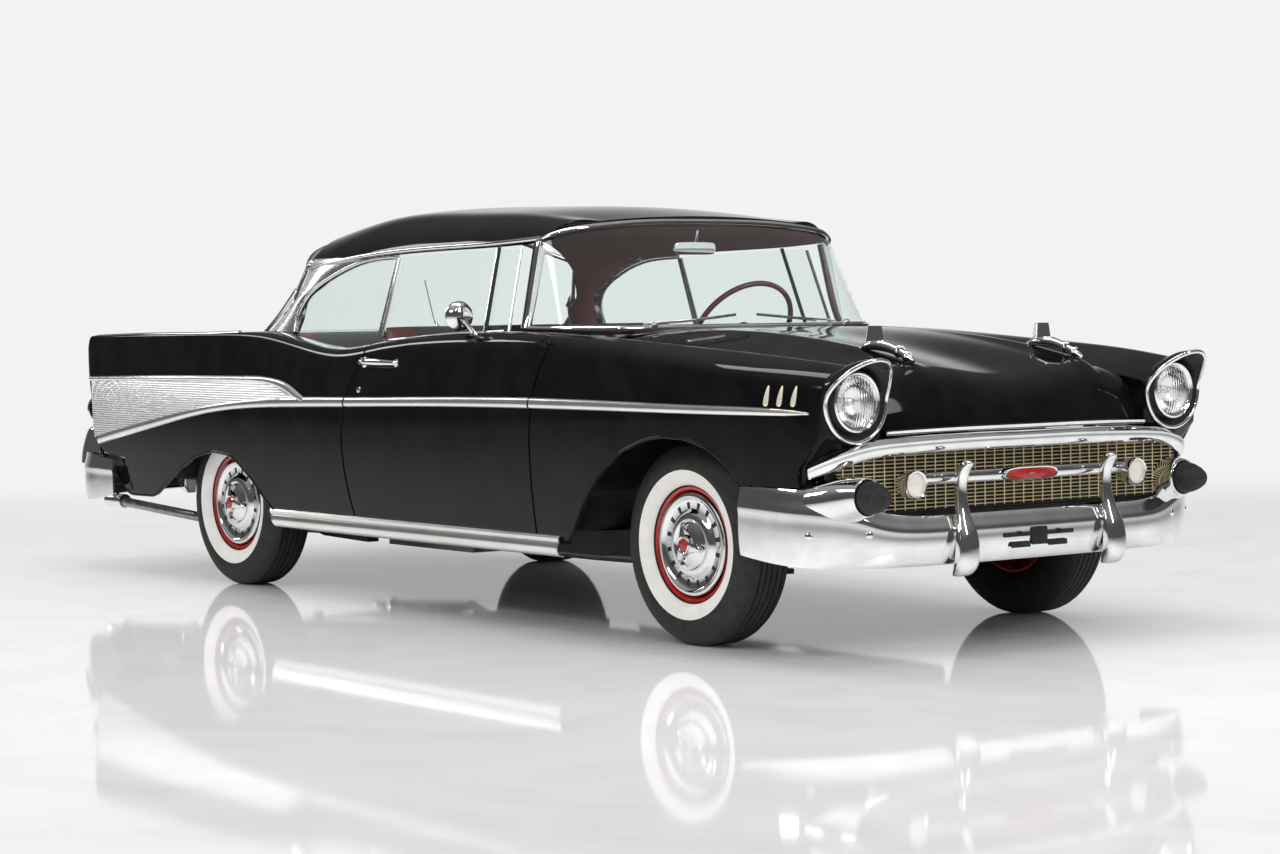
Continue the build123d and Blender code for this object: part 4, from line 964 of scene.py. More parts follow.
def guard(sign):
    """A tall bumper guard: a full foot, a waist and a slim horn that leans forward at its tip."""
    rows = [(2446, 338, 252, 10, 14), (2462, 338, 258, 24, 30), (2480, 337, 286, 30, 41), (2487, 336, 335, 28, 43),
            (2482, 335, 390, 25, 38), (2466, 333, 440, 20, 28), (2454, 331, 490, 17, 21), (2452, 330, 545, 17, 19),
            (2460, 329, 585, 22, 20), (2476, 328, 610, 24, 17), (2486, 328, 620, 8, 7)]
    points, faces = lofted([(x, sign * y, z, hx, hy) for x, y, z, hx, hy in rows])
    return points, faces


def pod(sign):
    """The swept housing that carries a rubber bullet."""
    centre = np.array([2441.0, sign * 721, 520])
    rings = [(2, 54, 54, 0, 0), (4, 60, 60, 0, 0), (-12, 66, 65, 1, -1), (-50, 78, 74, 12, -8),
             (-100, 92, 82, 34, -18), (-180, 90, 78, 74, -28), (-260, 62, 56, 112, -30)]
    a = np.linspace(0, 2 * math.pi, 48, endpoint=False)
    spline = natural_spline(np.arange(len(rings)), np.array(rings, float))
    rows = []
    for dx, ry, rz, dy, dz in spline(np.linspace(0, len(rings) - 1, 30)):
        rows.append(centre + np.column_stack([np.full(48, dx), sign * dy + ry * np.cos(a), dz + rz * np.sin(a)]))
    points = np.concatenate(rows)
    faces = [(i * 48 + j, (i + 1) * 48 + j, (i + 1) * 48 + (j + 1) % 48, i * 48 + (j + 1) % 48)
             for i in range(29) for j in range(48)]
    faces += [tuple(range(48)), tuple(reversed(range(29 * 48, 30 * 48)))]
    return points, faces


def bolt(points, y, z):
    """A round bolt head on a bumper bar's face."""
    row = np.argmin(np.abs(points[:, 13, 1] - y))
    place = points[row, 13]
    n = normals(points)[row, 13]
    n = n if n[0] > 0 or abs(n[1]) > 0.9 else -n
    if n[1] * y < 0 and abs(n[1]) > 0.3:
        n = -n
    head = lathe([(0.5, 5), (8, 4.5), (12, 2), (13, -1), (0.5, -1)], place + (0, 0, z - place[2]), n, 24)
    return head[:2]


def plate_bracket():
    """The plain black carrier for a number plate."""
    parts = [block((2466, -36, 336), (2478, 36, 394), 4), block((2468, -158, 366), (2476, 158, 380), 3),
             block((2468, -128, 330), (2476, -40, 348), 3), block((2468, 40, 330), (2476, 128, 348), 3)]
    for y in (89, -89):
        parts.append(lathe([(3.5, 4), (8, 4), (9, 0), (9, -6), (3.5, -6)], (2474, y, 375), (1, 0, 0), 24)[:2])
        parts.append(block((2466, min(y, 0) if y < 0 else 0, 371), (2472, 0 if y < 0 else y, 379), 1))
    points, faces, _ = joined(*parts)
    add_mesh("plate_bracket", points, faces, ["black"], "body", slot="chassis_black")


def rear_guard(sign):
    rows = [(-2502, 330, 292, 18, 26), (-2510, 330, 330, 24, 34), (-2510, 330, 420, 24, 34),
            (-2506, 330, 500, 22, 30), (-2500, 330, 536, 16, 20), (-2498, 330, 542, 6, 8)]
    return lofted([(x, sign * y, z, hx, hy) for x, y, z, hx, hy in rows])


def rear_pod(sign):
    rows = [(-2400, 830, 452, 80, 72), (-2396, 834, 500, 78, 66), (-2386, 838, 560, 64, 54),
            (-2376, 842, 600, 46, 40), (-2370, 842, 612, 22, 20)]
    return lofted([(x, sign * y, z, hx, hy) for x, y, z, hx, hy in rows])


def build_grille():
    bar_rows = np.array([(2416, 0, 0, 648, 708, 17), (2414, 250, 2, 648, 708, 17), (2404, 545, 8, 642, 700, 17),
                         (2388, 690, 18, 628, 688, 17), (2362, 785, 38, 600, 662, 16), (2312, 848, 60, 576, 622, 11)],
                        float)
    points = bar_points(bar_rows, 18, 90)
    lip, lip_faces, _ = slab(points, 8, flip=False, roll=1.0)
    add_mesh("upper_grille_bar", lip, lip_faces, ["chrome"], "body", angle=40, replaces=["grille"], slot="chrome")
    wires = []
    for z in np.arange(470, 652, 12.0):
        wires.append(tube([(2352, y, z) for y in np.linspace(-770, 770, 3)], (1.6, 1.9), 6, up=(0, 0, 1)))
    for y in np.arange(-748, 749, 44.0):
        wires.append(tube([(2358, y, z) for z in np.linspace(464, 656, 3)], (2.4, 1.6), 6, up=(1, 0, 0)))
    points, faces, _ = joined(*wires)
    add_mesh("grille_lattice", points, faces, ["gold"], "body", slot="grille_gold")
    backing = block((2326, -800, 455), (2334, 800, 664), 2)
    lower = block((2300, -700, 420), (2330, 700, 458), 6)
    points, faces, _ = joined(backing, lower)
    add_mesh("grille_backing", points, faces, ["black"], "body", slot="chassis_black")
    y = np.linspace(-470, 470, 61)
    path = np.stack([2396 + 16 * (1 - (y / 470) ** 2), y, 0 * y + 566], -1)
    fat = np.stack([11 + 0 * y, 17 + 4 * np.cos(y / 470 * math.pi / 2)], -1)
    bar = tube(path, fat, 18, up=(0, 0, 1))
    badge = badge_form()
    parts = [bar, badge]
    for sign in (1, -1):
        cup = lathe([(0.5, -60), (22, -58), (36, -40), (43, -10), (47, 14), (45, 21), (40, 19), (36, 4), (0.5, 0)],
                    (2414, sign * 504, 548), (1, 0, 0), 64)
        parts.append(cup[:2])
    points, faces, numbers = joined(*parts)
    slots = [0] * len(faces)
    first = numbers.index(1)
    slots[first + 48 * 3:first + 48 * 5] = [1] * 96
    add_mesh("grille_centre_bar", points, faces, ["chrome", "rim_red"], "body", slots, angle=40, slot="chrome")
    for side, sign in SIDES:
        lens = lathe([(0.5, 19), (16, 18), (30, 15), (39, 11), (40, 6), (0.5, 4)], (2414, sign * 504, 548),
                     (1, 0, 0), 56)
        add_mesh(f"parking_lens_{side}", *lens[:2], ["cream_lens"], "body", replaces=["parking_lamps"],
                 slot="lamp_glass")


def badge_form():
    """A plain raised oblong boss in the middle of the grille's bar."""
    a = np.linspace(0, 2 * math.pi, 48, endpoint=False)
    y = np.sign(np.cos(a)) * np.abs(np.cos(a)) ** 0.55
    z = np.sign(np.sin(a)) * np.abs(np.sin(a)) ** 0.75
    rings = [(2408, 122, 23), (2430, 125, 25), (2440, 119, 21), (2438, 112, 17), (2440, 60, 9), (2440.5, 12, 2)]
    points = np.concatenate([np.column_stack([np.full(48, x), y * hy, 566 + z * hz]) for x, hy, hz in rings])
    faces = [(i * 48 + j, i * 48 + (j + 1) % 48, (i + 1) * 48 + (j + 1) % 48, (i + 1) * 48 + j)
             for i in range(len(rings) - 1) for j in range(48)]
    faces += [tuple(reversed(range(48))), tuple(range((len(rings) - 1) * 48, len(rings) * 48))]
    return points, faces


def build_hood_trim():
    """The two sight-shaped ornaments on the hood's ridges and the bright bar along its lip."""
    parts = []
    for y in (RIDGE, -RIDGE):
        base = [(2040, y, 975, 5, 8), (2080, y, 983, 15, 14), (2140, y, 984, 20, 18), (2200, y, 972, 17, 16),
                (2260, y, 950, 13, 13), (2292, y, 934, 7, 8)]
        places = np.array([(p[0], p[1], p[2]) for p in base], float)
        rows = natural_spline(np.arange(6), places)(np.linspace(0, 5, 34))
        wide = natural_spline(np.arange(6), np.array([(p[3], p[4]) for p in base], float))(np.linspace(0, 5, 34))
        parts.append(tube(rows, wide, 18, up=(0, 0, 1)))
        parts.append(sight_fin(y))
        for x, z, r in ((2226, 966, 21), (2262, 950, 18)):
            ring = lathe([(r - 6, -5), (r, -4), (r + 1, 0), (r, 4), (r - 6, 5)], (x, y, z), (1, 0, -0.35), 32)
            parts.append(ring[:2])
    points, faces, _ = joined(*parts)
    add_mesh("hood_sights", points, faces, ["chrome"], "hood", angle=40, replaces=["hood_trim"], slot="chrome")
    table = np.array([(2416, 0, 0, 709, 731, 12), (2413, 200, 3, 709, 731, 12), (2402, 400, 8, 707, 729, 12),
                      (2380, 586, 14, 702, 724, 12)], float)
    lip, faces, _ = slab(bar_points(table, 12, 60), 6, flip=False, roll=0.8)
    add_mesh("hood_lip_bar", lip, faces, ["chrome"], "hood", angle=40, slot="chrome")


def sight_fin(y):
    """The pale upright fin of a sight ornament."""
    g = np.linspace(0, 1, 12)
    rows = []
    for t in g:
        z = 985 + 63 * t
        x0, x1 = 2154 - 12 * t, 2058 + 18 * t
        half = 5.5 * (1 - 0.55 * t)
        a = np.linspace(0, 2 * math.pi, 20, endpoint=False)
        rows.append(np.column_stack([(x0 + x1) / 2 + (x0 - x1) / 2 * np.cos(a), y + half * np.sin(a),
                                     np.full(20, z)]))
    points = np.concatenate(rows)
    faces = [(i * 20 + j, i * 20 + (j + 1) % 20, (i + 1) * 20 + (j + 1) % 20, (i + 1) * 20 + j)
             for i in range(11) for j in range(20)]
    faces += [tuple(reversed(range(20))), tuple(range(220, 240))]
    return points, faces


# plan curves of the bent windows from the middle to the end, (distance, half width)
SCREEN_BASE = [(1020, 0), (1006, 290), (962, 540), (860, 700), (676, 747)]
SCREEN_TOP = [(747, 0), (743, 250), (735, 430), (705, 590), (662, 657)]
BACK_BASE = [(-1425, 0), (-1412, 260), (-1366, 500), (-1250, 656), (-1040, 722)]
BACK_TOP = [(-962, 0), (-960, 210), (-950, 400), (-925, 520), (-850, 615)]
BACK_EDGE = [(-1112, 1005), (-1028, 1100), (-957, 1160), (-932, 1189), (-921, 1246), (-896, 1300), (-856, 1345)]


def screen_points(base, top, z_base, z_top, edge=None, across=90, up=30):
    """A bent window as rows from its right end to its left end, each from foot to head."""
    knots = np.linspace(0, 1, 5)
    low, high = natural_spline(knots, np.array(base, float)), natural_spline(knots, np.array(top, float))
    u = np.abs(np.linspace(-1, 1, across))[:, None]
    sign = np.sign(np.linspace(-1, 1, across))[:, None]
    g = np.linspace(0, 1, up)[None, :]
    z = z_base + (z_top(u) - z_base) * g
    t = (z - z_base) / (1448.0 - z_base)
    limit = np.ones_like(z)
    if edge:
        for _ in range(12):
            xy = low(limit) * (1 - t)[..., None] + high(limit) * t[..., None]
            wanted = np.interp(z, [p[1] for p in edge], [p[0] for p in edge])
            limit = np.clip(limit - (xy[..., 0] - wanted) / 420, 0.6, 1.0)
    s = u * limit
    xy = low(s) * (1 - t)[..., None] + high(s) * t[..., None]
    return np.stack([xy[..., 0], xy[..., 1] * sign, z], -1)


def glass_head(heights):
    """The height of a window's head for each part of the way to its end."""
    spline = natural_spline(np.linspace(0, 1, len(heights)), np.array(heights, float))
    return lambda u: spline(u)


def border(points):
    """The edge of a grid of points as one closed path."""
    return np.concatenate([points[:, 0], points[-1, 1:-1], points[::-1, -1], points[0, -2:0:-1]])


def build_glass():
    screen = screen_points(SCREEN_BASE, SCREEN_TOP, 1040.0, glass_head([1424, 1421, 1409, 1388, 1352]))
    back = screen_points(BACK_BASE, BACK_TOP, 1012.0, glass_head([1420, 1414, 1388, 1346, 1296]), BACK_EDGE)
    sheet_piece("screen_pane", screen, 5, ["glass"], "body", flip=True, roll=0.2, replaces=["windshield"],
                slot="glass")
    sheet_piece("back_pane", back, 5, ["glass"], "body", roll=0.2, replaces=["rear_window"], slot="glass")
    for name, pane in (("screen_reveal", screen), ("back_reveal", back)):
        edge = softened(border(pane)[None], 2)[0]
        points, faces = tube(edge, (13, 9), 12, up=(0.5, 0, 1), loop=True)
        add_mesh(name, points, faces, ["chrome"], "body", angle=45, slot="chrome")
        gasket, gasket_faces = tube(edge, (19, 5), 8, up=(0.5, 0, 1), loop=True)
        add_mesh(f"{name}_rubber", gasket, gasket_faces, ["rubber"], "body", slot="rubber")
    for name in ("door_glass_left", "door_glass_right", "quarter_glass"):
        use_finish(name, "glass")
    for side, sign in SIDES:
        window_frames(side, sign)


def glass_y(z):
    """How far out the side windows' outer faces are at a height."""
    return 772.0 - (np.asarray(z, float) - 1000.0) * 0.303


def window_frames(side, sign):
    """Bright frames round the side windows, the drip rail and the pillars' mouldings."""
    def bar(path, size, name, body, finish_name="chrome", up=(0, 1, 0.3), smooth=30):
        points = [(x, float(glass_y(z)) + out, z) for x, z, out in path]
        path = smooth_path(points, smooth) * (1, sign, 1)
        p, f = tube(path, size, 10, up=np.array(up) * (1, sign, 1))
        add_mesh(f"{name}_{side}", p, f if sign > 0 else f, [finish_name], body, angle=45, slot="chrome")

    door = f"door_{side}"
    bar([(452, 1008, 2), (432, 1170, 2), (412, 1332, 2)], (9, 6), "vent_post", door, "black")
    bar([(443, 1010, 5), (424, 1170, 5), (404, 1332, 5)], (3, 3), "vent_edge", door)
    bar([(598, 1010, 3), (576, 1170, 3), (556, 1322, 3)], (7, 6), "vent_front", door)
    bar([(-226, 1008, 4), (-229, 1150, 4), (-232, 1304, 4)], (7, 6), "door_divider", door)
    bar([(-246, 1008, 4), (-246, 1150, 4), (-246, 1304, 4)], (6, 6), "quarter_divider", "body")
    bar([(-860, 1022, 3), (-866, 1060, 3), (-826, 1156, 3), (-750, 1208, 3), (-668, 1242, 3), (-480, 1294, 3),
         (-250, 1310, 3)], (10, 11), "quarter_frame", "body", "satin", smooth=60)
    rows = roof_points()
    edge = rows[2:-2, 0 if sign < 0 else -1]
    if edge[0, 1] * sign < 0:
        edge = rows[2:-2, -1 if sign < 0 else 0]
    path = edge + (0, sign * 4, 1)
    p, f = tube(path, (9, 9), 12, up=(0, 0, 1))
    add_mesh(f"drip_rail_{side}", p, f, ["chrome"], "body", angle=45, slot="chrome")
    post = np.array([(672, 748, 1040), (666, 722, 1110), (663, 692, 1220), (659, 662, 1345)], float) * (1, sign, 1)
    p, f = tube(smooth_path(post, 40), (20, 15), 14, up=(0, sign, 0.3))
    add_mesh(f"front_pillar_{side}", p, f, ["chrome"], "body", angle=45, slot="chrome")
    rear = [(-921, 1189, 724), (-960, 1150, 731), (-1030, 1085, 742), (-1113, 1018, 757)]
    line_up = np.array([(x, sign * y, z) for x, z, y in rear], float)
    p, f = tube(smooth_path(line_up, 40), (12, 6), 12, up=(0, sign, 0.5))
    add_mesh(f"pillar_moulding_{side}", p, f, ["chrome"], "body", angle=45, slot="chrome")
    sill_door = np.linspace(596, -150, 50)
    belt = np.stack([sill_door, np.full(50, 786.0), np.interp(sill_door, [-150, 100, 600], [993, 1009, 1030])], -1)
    p, f = tube(belt * (1, sign, 1), (5, 7), 10, up=(0, 0, 1))
    add_mesh(f"belt_edge_{side}", p, f, ["chrome"], door, angle=45, slot="chrome")


def build_scuttle():
    """The cowl in front of the windscreen and the shelf behind the rear window, with the painted strips beside them.
    """
    v = np.linspace(-1, 1, 90)[:, None]
    g = fractions(22, 0.02)[None, :]
    screen = natural_spline(np.linspace(0, 1, 5), np.array(SCREEN_BASE, float))(np.abs(v))
    edge_x = np.clip(screen[..., 0] + 16, 0, 1036)
    edge_y = screen[..., 1]
    front_y = 650 * np.abs(v)
    x = edge_x + (1093 - edge_x) * g
    y = np.sign(v) * (edge_y + (front_y - edge_y) * g)
    z = 1041 + 0 * x - 34 * (np.abs(y) / 745) ** 2.6 - 7 * g
    add_cap("cowl_skin", np.stack([x, y, z], -1), True, ["cowl"])
    back = natural_spline(np.linspace(0, 1, 5), np.array(BACK_BASE, float))(np.abs(v))
    x = back[..., 0] - 8 + (-1456 - back[..., 0] + 8) * g
    x = np.minimum(x, -1000)
    y = np.sign(v) * (back[..., 1] + (np.abs(v) * 690 - back[..., 1]) * g)
    z = 1012 - 16 * (np.abs(y) / 700) ** 2.4 - 3 * g
    add_cap("deck_skin", np.stack([x, y, z], -1), False, ["rear_deck"])
    for side, sign in SIDES:
        deck_side(side, sign)
        cowl_side(side, sign)


def add_cap(name, points, flip, nodes):
    sheet_piece(name, points, 10, ["paint", "black"], "body", flip=flip, roll=0.5, replaces=nodes,
                slot="black_paint")


def cowl_side(side, sign):
    """The painted strip between the cowl's end and the fender's inner edge."""
    x = np.linspace(1098, 606, 50)[:, None]
    g = np.linspace(0, 1, 12)[None, :]
    inner = np.interp(x, [606, 700, 860, 962, 1098], [745, 738, 700, 600, 600])
    column = side_column(x[:, 0])
    lip = np.array([pick(c[None], lip_row(np.array([xx]), c[None]), 0)[0] for xx, c in zip(x[:, 0], column)])
    lip_z = np.array([pick(c[None], lip_row(np.array([xx]), c[None]), 1)[0] for xx, c in zip(x[:, 0], column)])
    y = inner + (lip[:, None] + 3 - inner) * g
    z_inner = 1041 - 34 * (inner / 745) ** 2.6 - 3
    z = z_inner + (lip_z[:, None] - 4 - z_inner) * g
    points = np.stack([x + 0 * g, y, z], -1) * (1, sign, 1)
    sheet_piece(f"cowl_side_{side}", points, 6, ["paint", "black"], "body", flip=sign > 0, roll=0.5,
                slot="black_paint")


def deck_side(side, sign):
    """The painted strip between the shelf and the rear quarter's inner edge."""
    x = np.linspace(-880, -1470, 50)[:, None]
    g = np.linspace(0, 1, 12)[None, :]
    inner = np.interp(-x, [880, 1040, 1112, 1250, 1366, 1470], [700, 718, 690, 640, 500, 400])
    column = side_column(x[:, 0])
    rows = [lip_row(np.array([xx]), c[None]) for xx, c in zip(x[:, 0], column)]
    lip = np.array([pick(c[None], r, 0)[0] for r, c in zip(rows, column)])
    lip_z = np.array([pick(c[None], r, 1)[0] for r, c in zip(rows, column)])
    y = inner + (lip[:, None] + 3 - inner) * g
    z_inner = 1012 - 16 * (inner / 700) ** 2.4 - 2
    z = z_inner + (lip_z[:, None] - 4 - z_inner) * g
    points = np.stack([x + 0 * g, y, z], -1) * (1, sign, 1)
    sheet_piece(f"deck_side_{side}", points, 6, ["paint", "black"], "body", flip=sign < 0, roll=0.5,
                slot="black_paint")


def build_rear_end():
    """The tail lamps, the painted faces round them and the panel under the boot lid."""
    tail = block((-2308, -600, 440), (-2290, 600, 604), 6)
    add_mesh("tail_panel", *tail, ["paint"], "body", slot="black_paint")
    for side, sign in SIDES:
        outline = [(606, 596), (700, 556), (872, 556), (914, 700), (912, 800), (898, 940), (860, 985), (800, 985),
                   (700, 925), (606, 900)]
        ring = softened(closed_loop(outline, 160)[None], 6)[0]
        centre = ring.mean(0)
        rows = []
        for g, x in ((0, -2296), (0.0, -2306), (0.03, -2312), (0.35, -2316), (0.8, -2318), (0.98, -2318)):
            yz = ring * (1 - g) + centre * g
            rows.append(np.column_stack([np.full(len(yz), x), yz[:, 0] * sign, yz[:, 1]]))
        points = np.stack(rows, 1).reshape(-1, 3)
        faces = grid_faces(160, len(rows), wrap=True)
        add_mesh(f"tail_face_{side}", points, faces if sign > 0 else flipped(faces), ["paint"], "body", angle=50,
                 slot="black_paint")
        bezel = lathe([(48, 0), (50, 18), (54, 22), (60, 18), (62, 0)], (-2318, sign * 858, 690), (-1, 0, 0), 56)
        lens = lathe([(0.5, 34), (14, 33), (30, 28), (42, 20), (49, 10), (49, 0), (0.5, 0)],
                     (-2318, sign * 858, 690), (-1, 0, 0), 56)
        points, faces, numbers = joined(bezel[:2], lens[:2])
        add_mesh(f"tail_lamp_{side}", points, faces, ["chrome", "red_lens"], "body", numbers, angle=40,
                 replaces=["tail_lamps"], slot="red_lens")


def closed_loop(outline, count):
    """Evenly spaced points round a closed outline."""
    loop = np.array(list(outline) + [outline[0]], float)
    along = np.concatenate([[0], np.cumsum(np.hypot(*np.diff(loop, axis=0).T))])
    at = np.linspace(0, along[-1], count, endpoint=False)
    return np.stack([np.interp(at, along, loop[:, 0]), np.interp(at, along, loop[:, 1])], -1)


def build_small_parts():
    head = [(0.5, -24), (30, -22), (46, -14), (53, 0), (55, 14), (53, 20), (48, 18), (0.5, 14)]
    shell = lathe(head, (440, -868, 1086), (-1, 0, 0), 64)
    foot = lofted([(500, -838, 994, 62, 20), (498, -839, 1004, 56, 18), (492, -842, 1018, 26, 12),
                   (486, -846, 1030, 16, 9), (474, -856, 1050, 11, 8), (462, -864, 1070, 10, 8)], 24, 2.0)
    points, faces, _ = joined(shell[:2], foot)
    add_mesh("outside_mirror", points, faces, ["chrome"], "door_right", angle=45, replaces=["door_mirror"],
             slot="chrome")
    glass = lathe([(0.5, 15.5), (47, 15.5), (47, 14), (0.5, 14)], (440, -868, 1086), (-1, 0, 0), 48)
    add_mesh("outside_mirror_glass", *glass[:2], ["reflector"], "door_right", slot="chrome")
    mast = [(-2157, 776, 1016), (-2175, 770, 1075), (-2199, 766, 1152), (-2223, 760, 1231)]
    rod, rod_faces = tube(smooth_path(mast, 20), 2.6, 10, up=(0, 1, 0))
    base = lathe([(0.5, 40), (5, 40), (7, 30), (13, 14), (20, 4), (21, -6), (0.5, -6)], (-2152, 778, 1006),
                 (-0.2, -0.05, 1), 32)
    tip = lathe([(0.5, 5), (3, 4), (4, 0), (3, -4), (0.5, -5)], (-2223, 760, 1231), (-0.3, -0.1, 1), 16)
    points, faces, _ = joined((rod, rod_faces), base[:2], tip[:2])
    add_mesh("radio_mast", points, faces, ["chrome"], "body", angle=45, replaces=["antenna"], slot="chrome")
    wipers = []
    for sign, reach in ((1, -1), (-1, 1)):
        pivot = np.array([1036.0, sign * 453, 1044])
        wipers.append(lathe([(0.5, 16), (8, 15), (13, 8), (14, -4), (0.5, -4)], pivot, (0.4, 0, 1), 24)[:2])
        y = np.linspace(pivot[1], pivot[1] + reach * 400, 24)
        screen = natural_spline([p[1] for p in SCREEN_BASE], [p[0] for p in SCREEN_BASE])(np.abs(y))
        rise = np.linspace(0, 1, 24)
        x = np.minimum(screen + 12, 1034) - 22 * rise
        z = 1052 + 24 * rise
        arm = np.stack([x + 6, y, z + 2], -1)
        wipers.append(tube(arm[:18], (2.5, 3.5), 8, up=(0, 0, 1)))
        blade_y = y[6] + reach * np.linspace(0, 300, 20)
        blade_x = natural_spline([p[1] for p in SCREEN_BASE], [p[0] for p in SCREEN_BASE])(np.abs(blade_y)) + 2
        blade = np.stack([blade_x - np.linspace(6, 26, 20), blade_y, np.linspace(1056, 1082, 20)], -1)
        wipers.append(tube(blade, (3, 5), 8, up=(0, 0, 1)))
    points, faces, _ = joined(*wipers)
    add_mesh("wipers", points, faces, ["satin"], "body", angle=40, slot="chrome")
    stem = tube(smooth_path([(722, 0, 1392), (716, 0, 1362), (704, 0, 1334)], 10), 5, 10, up=(0, 1, 0))
    back = lofted([(706, 0, 1302, 5, 60), (706, 0, 1308, 9, 92), (706, 0, 1328, 11, 98), (706, 0, 1346, 9, 92),
                   (706, 0, 1352, 5, 60)], 36, 3.0)
    points, faces, _ = joined(stem, back)
    add_mesh("inside_mirror", points, faces, ["chrome"], "body", angle=40, slot="chrome")
    tips = []
    for sign in (1, -1):
        tips.append(lathe([(24, -60), (30, -60), (30, 66), (32, 76), (29, 78), (25, 70)], (-2478, sign * 700, 276),
                          (-1, 0, 0), 40)[:2])
    points, faces, _ = joined(*tips)
    add_mesh("exhaust_tips", points, faces, ["chrome"], "body", angle=40, slot="chrome")


# each bench: distance of the cushion and of the back, half width, height of the cushion and top of the back
SEATS = (("front", 60, -240, 690, 600, 1030), ("rear", -870, -1125, 585, 610, 1000))
SEAT_PLEATS = 9


def seat_part(centre, half, tilt, pleats):
    """A rounded cushion: a box drawn in at its edges, swollen between its pleats."""
    steps = (46, 110)
    u = np.linspace(-1, 1, steps[0])
    v = np.linspace(-1, 1, steps[1])
    u, v = np.meshgrid(u, v, indexing="ij")
    grids = []
    for sign in (1, -1):
        drop = 1 - (np.abs(u) ** 5) * 0.8
        drop = drop * (1 - np.abs(v) ** 22 * 0.75)
        pleat = 0.030 * np.abs(np.sin(v * math.pi * pleats)) ** 0.5 * (np.abs(u) < 0.72) if sign > 0 else 0.0
        w = sign * (drop + pleat - 0.03)
        grids.append(np.stack([u, v, w], -1))
    top, bottom = grids
    count = steps[0] * steps[1]
    upper = grid_faces(*steps)
    faces = upper + flipped([tuple(i + count for i in f) for f in upper])
    nu, nv = steps
    for i in range(nu - 1):
        faces.append((i * nv, i * nv + count, (i + 1) * nv + count, (i + 1) * nv))
        a, b = i * nv + nv - 1, (i + 1) * nv + nv - 1
        faces.append((a, b, b + count, a + count))
    for j in range(nv - 1):
        faces.append((j, j + 1, j + 1 + count, j + count))
        a = (nu - 1) * nv + j
        faces.append((a, a + count, a + 1 + count, a + 1))
    points = np.concatenate([top.reshape(-1, 3), bottom.reshape(-1, 3)]) * half
    c, s = math.cos(tilt), math.sin(tilt)
    x = points[:, 0] * c + points[:, 2] * s
    z = -points[:, 0] * s + points[:, 2] * c
    points = np.column_stack([x, points[:, 1], z]) + centre
    return points, faces


def build_seats():
    """Both benches: a cushion and a leaning back each, in red and black."""
    for where, x, back_x, width, seat_z, top in SEATS:
        cushion = seat_part((x, 0, seat_z - 20), np.array([255, width, 78]), math.radians(-4), SEAT_PLEATS)
        back = seat_part((back_x - 10, 0, (top + seat_z) / 2 - 20),
                         np.array([(top - seat_z) / 2 + 40, width, 66]), math.radians(-106), SEAT_PLEATS)
        for part, (points, faces) in (("cushion", cushion), ("back", back)):
            centres = np.array([points[list(f)].mean(0) for f in faces])
            y = np.abs(centres[:, 1]) / width
            slots = np.where((y < 0.86) & (y > 0.10), 1, 0)
            piece = add_mesh(f"{where}_{part}", points, faces, ["vinyl", "insert"], "body", slots, angle=60,
                             replaces=[f"{where}_seat"], slot="seat_cloth")


def build_cabin():
    """The dash, the wheel, the door cards and the cards beside the rear bench."""
    v = np.linspace(-712, 712, 80)[:, None]
    section = [(962, 992), (900, 1006), (800, 1012), (720, 1006), (680, 990), (660, 962), (662, 925), (676, 890),
               (684, 850), (690, 806), (740, 792)]
    g = smooth_path([(x, 0, z) for x, z in section], 46)
    x = g[None, :, 0] + 0 * v
    z = g[None, :, 2] + 0 * v
    limit = np.interp(x, [650, 700, 900, 965], [712, 706, 600, 500])
    y = v / 712 * limit
    sheet_piece("dash_top", np.stack([x, y, z], -1), 5, ["vinyl", "black"], "body", flip=False, roll=0.5,
                replaces=["dashboard"], slot="seat_cloth")
    parts = [tube([(668, y, 905) for y in np.linspace(-690, 690, 3)], (4, 12), 10, up=(0, 0, 1))]
    for y, radius in ((470, 48), (380, 56), (290, 48), (-60, 30)):
        parts.append(lathe([(0.5, 8), (radius - 8, 8), (radius - 3, 12), (radius, 8), (radius, -4), (0.5, -4)],
                           (660, y, 942), (-1, 0, 0), 40)[:2])
    points, faces, _ = joined(*parts)
    add_mesh("dash_trim", points, faces, ["chrome"], "body", angle=40, slot="chrome")
    build_steering_wheel()
    for side, sign in SIDES:
        card = block((-120, 820, 420), (700, 832, 960), 3)
        card = (card[0] * (1, sign, 1), card[1] if sign > 0 else flipped(card[1]))
        grip = smooth_path([(60, 812, 860), (120, 796, 862), (260, 796, 862), (320, 812, 860)], 24)
        pull = tube(grip * (1, sign, 1), (7, 10), 12, up=(0, 0, 1))
        add_mesh(f"door_card_{side}", *card, ["vinyl"], f"door_{side}", slot="seat_cloth")
        add_mesh(f"door_pull_{side}", *pull, ["chrome"], f"door_{side}", angle=40, slot="chrome")
        side_card = block((-860, 790, 520), (-340, 800, 880), 3)
        side_card = (side_card[0] * (1, sign, 1), side_card[1] if sign > 0 else flipped(side_card[1]))
        add_mesh(f"quarter_card_{side}", *side_card, ["vinyl"], "body", slot="seat_cloth")


